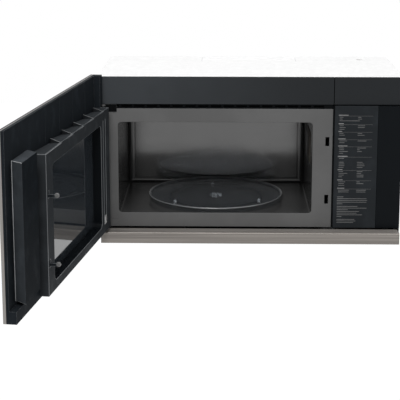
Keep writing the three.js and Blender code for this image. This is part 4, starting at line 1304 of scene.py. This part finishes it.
@dataclass
class Turntable:
    """The glass tray on its coupler, the ring and its three rollers."""

    tray_rise: float = 0.003
    lugs: float = 0.0062
    lug_radius: float = 0.0026
    lug_circle: float = 0.013
    rim_band: float = 0.0062
    rim: float = 0.0062
    rib_rise: float = 0.0007
    foot_rise: float = 0.0006

    def build(self) -> None:
        """Builds the turntable."""
        self.tray()
        soft("turntable_coupler", NYLON, 0.0007)
        soft("roller_ring", BLACK, 0.0005, least=0.001)
        for place in (1, 2, 3):
            soft(f"roller_wheel_{place}", NYLON, 0.0006)
        soft("turntable_motor", ZINC, 0.0006, least=0.002)

    def tray(self) -> None:
        """Turns the glass tray, with its raised rim, stepped well and ring foot."""
        low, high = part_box("glass_tray")
        centre = (low + high) / 2
        radius = (high.x - low.x) / 2
        base = low.z + self.lugs
        foot, well, top = base + self.foot_rise, base + self.tray_rise, base + self.rim
        rib = well + self.rib_rise
        profile = [(0, base), (0.030, base), (0.032, foot), (radius - 0.052, foot),
                   (radius - 0.050, base), (radius - 0.006, base), (radius - 0.0015, base + 0.0025),
                   (radius, base + 0.0036), (radius, top - 0.0018), (radius - 0.0006, top - 0.0006),
                   (radius - 0.0018, top), (radius - 0.0030, top - 0.0006), (radius - 0.0048, top - 0.0026),
                   (radius - 0.0085, well + 0.0002), (radius - 0.012, well), (radius - 0.046, well),
                   (radius - 0.047, rib), (radius - 0.049, rib), (radius - 0.050, well),
                   (0.034, well), (0.033, rib), (0.031, rib), (0.030, well), (0, well)]
        shape = Shape().turned([(r, z - centre.z) for r, z in profile], centre, Axis.Z, 128)
        for angle in (60, 180, 300):
            spot = centre + Matrix.Rotation(math.radians(angle), 3, "Z") @ Vector((self.lug_circle, 0, 0))
            shape.rod(self.lug_radius, (spot.x, spot.y, low.z), self.lugs + 0.0002, Axis.Z, 14, 0.0006)
        # The rim band and the lugs take the opaque grey: painted highlight of the glass.
        edge = radius - self.rim_band
        shape.mark(lambda face: (face.calc_center_median().xy - centre.xy).length > edge)
        shape.mark(lambda face: face.calc_center_median().z < base - 0.0001)
        renew("glass_tray", TRAY_GLASS, shape, TRAY_RIM_PAINTED_HIGHLIGHT, crease=70)


@dataclass
class Ventilation:
    """The twin blower above the oven, its filters, and the lenses of the cooktop lamps."""

    reflector: float = 0.021
    reflector_wall: float = 0.0006
    reflector_slope: float = 0.010
    bulb: tuple[float, float] = (0.0085, 0.044)

    def build(self) -> None:
        """Builds the ventilation."""
        for side in ("left", "right"):
            soft(f"blower_housing_{side}", ZINC, least=0.003)
            soft(f"blower_wheel_{side}", ZINC, 0.0004, 1, 0.004)
            soft(f"grease_filter_{side}", FILTER, least=0.003)
            soft(f"cooktop_lens_{side}", LENS_GLASS, 0.001, 3)
            self.lamp(side)
        soft("blower_motor", ZINC, least=0.003)
        soft("blower_shaft", STEEL, 0.0004)
        soft("charcoal_filter", CARBON, 0.0012, 3)

    def lamp(self, side: str) -> None:
        """Folds the reflector of a cooktop lamp and puts its bulb in, above the lens.

        Args:
            side: left or right.
        """
        low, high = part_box(f"cooktop_lens_{side}")
        foot, top = high.z + 0.0008, high.z + self.reflector
        path = [(low.x, low.y, foot), (low.x, low.y + self.reflector_slope, top),
                (low.x, high.y - self.reflector_slope, top), (low.x, high.y, foot)]
        shape = Shape().folded(path, (high.x - low.x, 0, 0), self.reflector_wall)
        for x, way in ((low.x, 1), (high.x, -1)):
            shape.prism([(x, *point[1:]) for point in path], (way * self.reflector_wall, 0, 0))
        shape.mark(lambda face: face.normal.z < -0.3)
        radius, length = self.bulb
        middle = (low + high) / 2
        bulb = Shape().rod(radius, (middle.x - length / 2, middle.y, high.z + self.reflector / 2), length,
                           Axis.X, 24, 0.003)
        shape.join(bulb.mark(lambda face: True))
        shape.piece(f"cooktop_lamp_{side}", RAIL, f"blower_housing_{side}", NYLON)


@dataclass
class InnerWorks:
    """What makes, feeds and cools the microwaves, behind the control side."""

    edge: float = 0.0006
    least: float = 0.0025

    def build(self) -> None:
        """Builds the inner works."""
        for node, finish in {"magnetron": ZINC, "transformer": IRON, "capacitor": ZINC, "power_board": PCB,
                             "fan_housing": RAIL, "fan_blades": NYLON, "latch_board": RAIL,
                             "switch_upper": BLACK, "switch_lower": BLACK}.items():
            soft(node, finish, self.edge, least=self.least)


@dataclass
class Hinges:
    """The two brackets on the face frame, with their pins."""

    edge: float = 0.0005
    least: float = 0.0015
    pin: float = 0.0026
    pin_proud: float = 0.0014
    washer: float = 0.0048
    washer_wall: float = 0.0008
    painted: float = 0.0015

    def build(self) -> None:
        """Builds the hinges."""
        pins = Shape()
        for node in ("hinge_upper", "hinge_lower"):
            low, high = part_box(node)
            shape = Shape.of_node(node).soften(self.edge, least=self.least)
            if node == "hinge_lower":
                shape.mark(lambda face: face.calc_center_median().y > high.y - self.painted, 2)
            # The rounded edges take a light grey: painted highlight.
            renew(node, HINGE, shape, PAINTED_EDGE_HIGHLIGHT, FRAME_PAINT)
            pins.rod(self.pin, (*HINGE_POINT.xy, low.z - self.pin_proud), high.z - low.z + 2 * self.pin_proud,
                     Axis.Z, 24, 0.0006)
            for z in (low.z - self.washer_wall, high.z):
                pins.rod(self.washer, (*HINGE_POINT.xy, z), self.washer_wall, Axis.Z, 24, 0.0002)
        pins.piece("hinge_pins", LATCH, "hinge_upper")


@dataclass
class DoorLeaf:
    """The door: glass, metal edge, moulding, touch housing, choke cover, window and latch.

    Its pieces are drawn on the closed door and swung open to where it stands.
    """

    glass_edge: float = 0.0004
    rib_count: int = 4
    rib_width: float = 0.001
    rib_pitch: float = 0.1155
    rib_rise: float = 0.0009
    moulding_face: float = 0.0064
    fin_first: float = 0.1244
    fin_pitch: float = 0.097
    fin_count: int = 5
    fin_lean: float = 0.036
    fin_width: float = 0.0022
    face_wall: float = 0.003
    ledge_wall: float = 0.007
    ledge_drop: float = 0.007
    mouth: float = 0.014
    bar_depth: float = 0.005
    hook_inset: float = 0.020
    hook_width: float = 0.0052
    hook_radius: float = 0.0053
    hook_pin: float = 0.0016
    grip_lean: float = 0.019
    sheet_depth: float = 0.022
    sheet_wall: float = 0.0008
    sheet_corner: float = 0.0145
    sheet_margins: tuple[float, float, float, float] = (0.084, 0.0474, 0.0196, 0.0316)
    sheet_border: float = 0.003
    clip_place: tuple[float, float] = (0.052, 0.033)
    bead_places: tuple[float, float] = (0.041, 0.064)

    def __post_init__(self) -> None:
        """Works out how the closed door swings to where it stands."""
        self.angle = math.radians(DOOR_HINGE["range_deg"][1])
        self.swing = (Matrix.Translation(HINGE_POINT) @ Matrix.Rotation(-self.angle, 4, "Z")
                      @ Matrix.Translation(-HINGE_POINT))
        self.unswing = self.swing.inverted()

    def closed_box(self, node: str) -> tuple[Vector, Vector]:
        """Returns a door node's corners as they lie with the door closed."""
        return corners(self.unswing @ vert.co for vert in frame["nodes"][node].data.vertices)

    def glass(self, name: str, colour: Colour, shine: float, window: Point, pitch: float) -> DarkGlass:
        """Returns dark glass whose dot screen is swung open with the door.

        Args:
            name: the finish's name.
            colour: its colour.
            shine: its shine.
            window: the X and Z limits of the screen, with the door closed.
            pitch: how far apart the dots stand.

        Returns:
            The finish.
        """
        return DarkGlass(name, colour, 0.03, shine, window, pitch, self.angle, (*HINGE_POINT.xy, 0.0))

    def build(self) -> None:
        """Builds the door."""
        self.face_glass()
        soft("door_trim", DOOR_TRIM, 0.0004)
        soft("door_screen", SCREEN, 0.0002, 1)
        soft("window_pane", PANE, 0.0004)
        # The moulding's rounded edges take a light grey: painted highlight.
        soft("door_moulding", BLACK, 0.0007, 3, 0.003, PAINTED_EDGE_HIGHLIGHT)
        self.housing()
        self.inner_sheet()
        self.latch()
        soft("touch_board", PCB, 0.0004, 1)
        self.clip()
        self.choke()
        self.ledges()
        self.ribs()

    def face_glass(self) -> None:
        """Grinds the narrow sides of the face glass matt and dark."""
        low, high = self.closed_box("window_pane")
        finish = self.glass("door face glass", grey(17, -1), 0.35, (low.x, high.x, low.z, high.z), 0.0022)
        shape = Shape.of_node("door_glass").move(self.unswing).soften(self.glass_edge)
        shape.mark(lambda face: abs(face.normal.y) < 0.99)
        renew("door_glass", finish, shape.move(self.swing), GROUND)

    def inner_sheet(self) -> None:
        """Sets the glossy dark sheet that closes the window of the choke cover, ahead of the pane."""
        low, high = self.closed_box("choke_frame")
        margins, border = self.sheet_margins, self.sheet_border
        left, right = low.x + margins[0], high.x - margins[1]
        bottom, top = low.z + margins[2], high.z - margins[3]
        front = high.y - self.sheet_depth
        shape = Shape().slab((left, front - self.sheet_wall, bottom), (right, front, top))
        shape.round_edges([edge for edge in shape.mesh.edges if rise(edge, Axis.Y) > self.sheet_wall / 2],
                          self.sheet_corner, 6)
        finish = self.glass("window sheet gloss", grey(31, -3), 0.8,
                            (left + border, right - border, bottom + border, top - border), 0.0026)
        shape.move(self.swing).piece("window_sheet", finish, "window_pane")

    def housing(self) -> None:
        """Rounds the touch housing and gives it a lip; its grip side and top take a lighter grey, painted
        light, and the edges between them and the lip a painted highlight.
        """
        low, high = self.closed_box("control_housing")
        shape = Shape.of_node("control_housing").move(self.unswing).soften(0.0011, 3, clamp=False)
        shape.mark(lambda face: True, 0)
        shape.mark(lambda face: face.normal.x > 0.7 or face.normal.z > 0.9, 2)
        shape.mark(lambda face: face.normal.x > 0.2 and abs(face.normal.z) > 0.2)
        root = high.x - self.grip_lean
        lip = Shape().slab((root, low.y - 0.0002, low.z), (root + 0.0016, low.y + 0.0014, high.z), 0.0005)
        shape.join(lip.mark(lambda face: True))
        renew("control_housing", HOUSING, shape.move(self.swing), FIN_PAINTED_HIGHLIGHT, HOUSING_PAINTED_LIGHT)

    def clip(self) -> None:
        """Sets the small sprung steel clip in the hinge side of the choke cover."""
        low, high = self.closed_box("choke_frame")
        x, z, face = low.x + self.clip_place[0], low.z + self.clip_place[1], high.y
        shape = Shape()
        shape.slab((x - 0.011, face - 0.0004, z - 0.011), (x + 0.011, face + 0.0005, z + 0.011), 0.0004)
        shape.slab((x - 0.008, face, z - 0.003), (x + 0.008, face + 0.0016, z + 0.007), 0.0007)
        for side in (-1, 1):
            shape.rod(0.0018, (x + side * 0.006, face + 0.0004, z - 0.007), 0.0008, Axis.Y, 18, 0.0002)
        shape.move(self.swing).piece("choke_clip", CLIP_STEEL, "choke_frame")

    def latch(self) -> None:
        """Builds the latch bar with its two dark arms and their round, worn heads."""
        low, high = self.closed_box("latch_bar")
        shape = Shape().slab(low, (high.x, low.y + self.bar_depth, high.z), 0.0008)
        heads = Shape()
        middle, half, radius = (low.x + high.x) / 2, self.hook_width / 2, self.hook_radius
        root, tip = low.y + self.bar_depth - 0.0002, high.y - radius
        for z in (low.z + self.hook_inset, high.z - self.hook_inset):
            outline = [(root, z - 0.0042), (tip, z - 0.0026), (tip, z + 0.0030), (root, z + 0.0036)]
            shape.prism([(middle - half, *point) for point in outline], (self.hook_width, 0, 0), 0.0006)
            for size, proud, edge, steps in ((radius, 0.0003, 0.0013, 32),
                                             (self.hook_pin, 0.0005, 0.0004, 16)):
                start = (middle - half - proud, tip, z + 0.0005)
                heads.rod(size, start, 2 * (half + proud), Axis.X, steps, edge)
        # The bar's and arms' rounded edges take a light grey: painted highlight.
        renew("latch_bar", BLACK, shape.move(self.swing), PAINTED_EDGE_HIGHLIGHT)
        heads.move(self.swing).piece("latch_heads", LATCH, "latch_bar")

    def choke(self) -> None:
        """Takes the top wall out of the choke cover, where the slanted ledges go in."""
        low, high = self.closed_box("choke_frame")
        shape = Shape.of_node("choke_frame").move(self.unswing)
        well = Shape().slab((low.x + 0.0025, low.y - 0.001, high.z - 0.0131),
                            (high.x - 0.0025, high.y - self.face_wall, high.z + 0.001))
        shape.carve(well).soften(0.001, 3, sharp=60.0, clamp=False)
        for x in (low.x + place for place in self.bead_places):
            shape.slab((x, high.y - 0.0006, low.z + 0.026),
                       (x + 0.0026, high.y + 0.0011, high.z - 0.024), 0.0009)
        inner_low, inner_high = low + Vector((0.08, -1, 0.015)), high - Vector((0.04, -1, 0.025))
        # The side walls of the window recess take the dark gloss: painted shade.
        shape.mark(lambda face: face.material_index == 0 and abs(face.normal.y) < 0.5 and all(
            a < c < b for a, c, b in zip(inner_low, face.calc_center_median(), inner_high)), 2)
        # The rounded edges and beads take a light grey: painted highlight.
        renew("choke_frame", CHOKE, shape.move(self.swing), PAINTED_EDGE_HIGHLIGHT, GLOSS)

    def ledges(self) -> None:
        """Lays the row of ledges that fall away to a dark mouth before each slanted fin."""
        low, high = self.closed_box("choke_frame")
        front, back, top = high.y - self.face_wall, low.y, high.z - 0.0028
        tips = [high.x - 0.0028] + [high.x - self.fin_first - place * self.fin_pitch
                                    for place in range(self.fin_count)]
        ends = [(tip + self.fin_width, tip - self.fin_lean + self.mouth, self.ledge_drop) for tip in tips[1:]]
        ends.append((low.x + 0.003, low.x + 0.003, 0.0))
        ledges, fins = Shape(), Shape()
        for tip, (end_front, end_back, drop) in zip(tips, ends):
            root = tip if tip == tips[0] else tip - self.fin_lean
            ledges.prism([(tip, front, top), (end_front, front, top), (end_back, back, top - drop),
                          (root, back, top)], (0, 0, -self.ledge_wall))
            if root != tip:
                fins.prism([(tip, front, top - 0.008), (tip, front, top + 0.001), (root, back, top + 0.0024),
                            (root, back, top - 0.008)], (self.fin_width, 0, 0))
        # The fin tops take the brighter grey: painted highlight.
        fins.mark(lambda face: face.normal.z > 0.7, 2)
        ledges.soften(0.0006, least=0.003).join(fins)
        # The ledges' rounded edges take a light grey: painted highlight.
        ledges.move(self.swing).piece("choke_ledges", CHOKE, "choke_frame", PAINTED_EDGE_HIGHLIGHT, FIN_PAINTED_HIGHLIGHT)

    def ribs(self) -> None:
        """Raises the stiffening ribs on the inner face, above the choke cover."""
        choke = self.closed_box("choke_frame")[1]
        low, high = self.closed_box("door_moulding")
        face = low.y + self.moulding_face
        first = choke.x - self.fin_first + 0.007
        shape = Shape()
        for x in (first - place * self.rib_pitch for place in range(self.rib_count)):
            shape.slab((x, face - 0.0004, choke.z - 0.003),
                       (x + self.rib_width, face + self.rib_rise, high.z - 0.004), 0.0003)
        # The ribs' rounded edges take the lighter housing grey: painted highlight.
        shape.move(self.swing).piece("door_ribs", BLACK, "door_moulding", HOUSING_PAINTED_LIGHT)


# ---- Studio ----


@dataclass
class Softbox:
    """An area light that looks at the object."""

    name: str
    place: Point
    width: float
    height: float
    power: float

    def build(self, target: Vector) -> None:
        """Hangs the light.

        Args:
            target: the point that it looks at.
        """
        data = bpy.data.lights.new(self.name, "AREA")
        data.shape, data.size, data.size_y, data.energy = "RECTANGLE", self.width, self.height, self.power
        item = bpy.data.objects.new(self.name, data)
        bpy.context.scene.collection.objects.link(item)
        item.location = Vector(self.place)
        item.rotation_euler = (target - item.location).to_track_quat("-Z", "Y").to_euler()


@dataclass
class Studio:
    """The white studio: world, floor, lights and the camera of the photograph's view."""

    ambient: float = 0.46
    floor_colour: Point = (0.82, 0.82, 0.82, 1.0)
    floor_glow: float = 1.12
    floor_share: float = 0.86
    floor_drop: float = 1.3
    floor_size: float = 16.0
    target: Point = (0.0, -0.3, 0.0)
    softboxes: tuple[Softbox, ...] = (
        Softbox("key softbox", (-0.6, -3.2, 2.7), 1.3, 1.3, 78.0),
        Softbox("top softbox", (-0.3, -0.9, 2.4), 0.9, 0.9, 10.0),
        Softbox("side strip", (2.7, -1.2, -0.3), 0.3, 2.0, 2.5))
    camera_place: Point = (-0.0614, -3.5061, 0.6781)
    camera_turn: float = 1.182
    camera_dip: float = 11.927
    camera_lens: float = 114.5
    camera_sensor: float = 36.0
    camera_shift: float = -0.12
    camera_reach: float = 60.0

    def build(self) -> None:
        """Builds the studio."""
        bpy.context.scene.view_settings.view_transform = "Standard"
        self.world()
        self.floor()
        for light in self.softboxes:
            light.build(Vector(self.target))
        self.camera()

    def world(self) -> None:
        """Makes the white surroundings, whose own light stays moderate."""
        board = Board(bpy.data.worlds.new("white studio"))
        board.set(Color=WHITE, Strength=self.ambient)
        board.blend(board.seen(), board.add("ShaderNodeBackground", {}, {"Color": WHITE, "Strength": 1.0}))
        bpy.context.scene.world = board.owner

    def floor(self) -> None:
        """Lays the pale floor, which is seen white and still takes the object's shadow."""
        shape = Shape()
        bmesh.ops.create_grid(shape.mesh, x_segments=1, y_segments=1, size=self.floor_size / 2)
        item = shape.move(Matrix.Translation((0, 0, -self.floor_drop))).as_object("floor")
        shape.mesh.free()
        board = Board(bpy.data.materials.new("pale floor"))
        board.set(Base_Color=self.floor_colour, Roughness=0.9, Specular_IOR_Level=0.0)
        glow = board.add("ShaderNodeEmission", {}, {"Color": WHITE, "Strength": self.floor_glow})
        board.blend(board.seen() * self.floor_share, glow)
        item.data.materials.append(board.owner)
        item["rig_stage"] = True

    def camera(self) -> None:
        """Stands the camera where the photograph was taken from."""
        data = bpy.data.cameras.new("camera")
        data.lens, data.sensor_width, data.shift_y = self.camera_lens, self.camera_sensor, self.camera_shift
        data.clip_end = self.camera_reach
        item = bpy.data.objects.new("camera", data)
        bpy.context.scene.collection.objects.link(item)
        item.location = Vector(self.camera_place)
        item.rotation_euler = (math.radians(90 - self.camera_dip), 0, math.radians(self.camera_turn))
        bpy.context.scene.camera = item


def write_size(packed: tuple[Vector, Vector]) -> None:
    """Args:
        packed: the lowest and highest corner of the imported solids.
    """
    lines = [json.dumps([list(corner) for corner in box]) for box in (packed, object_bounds())]
    "\n".join(lines) + "\n"


def main() -> None:
    """Builds the studio and the sub-assemblies in order."""
    logging.basicConfig(level=logging.INFO, format="%(name)s: %(message)s")
    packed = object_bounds()
    for part in (Studio(), CabinetShell(), CabinetFront(), OvenCavity(), Turntable(), Ventilation(),
                 InnerWorks(), Hinges(), DoorLeaf()):
        part.build()
        log.info("%s is built", type(part).__name__)
    write_size(packed)


if __name__ == "__main__":
    main()
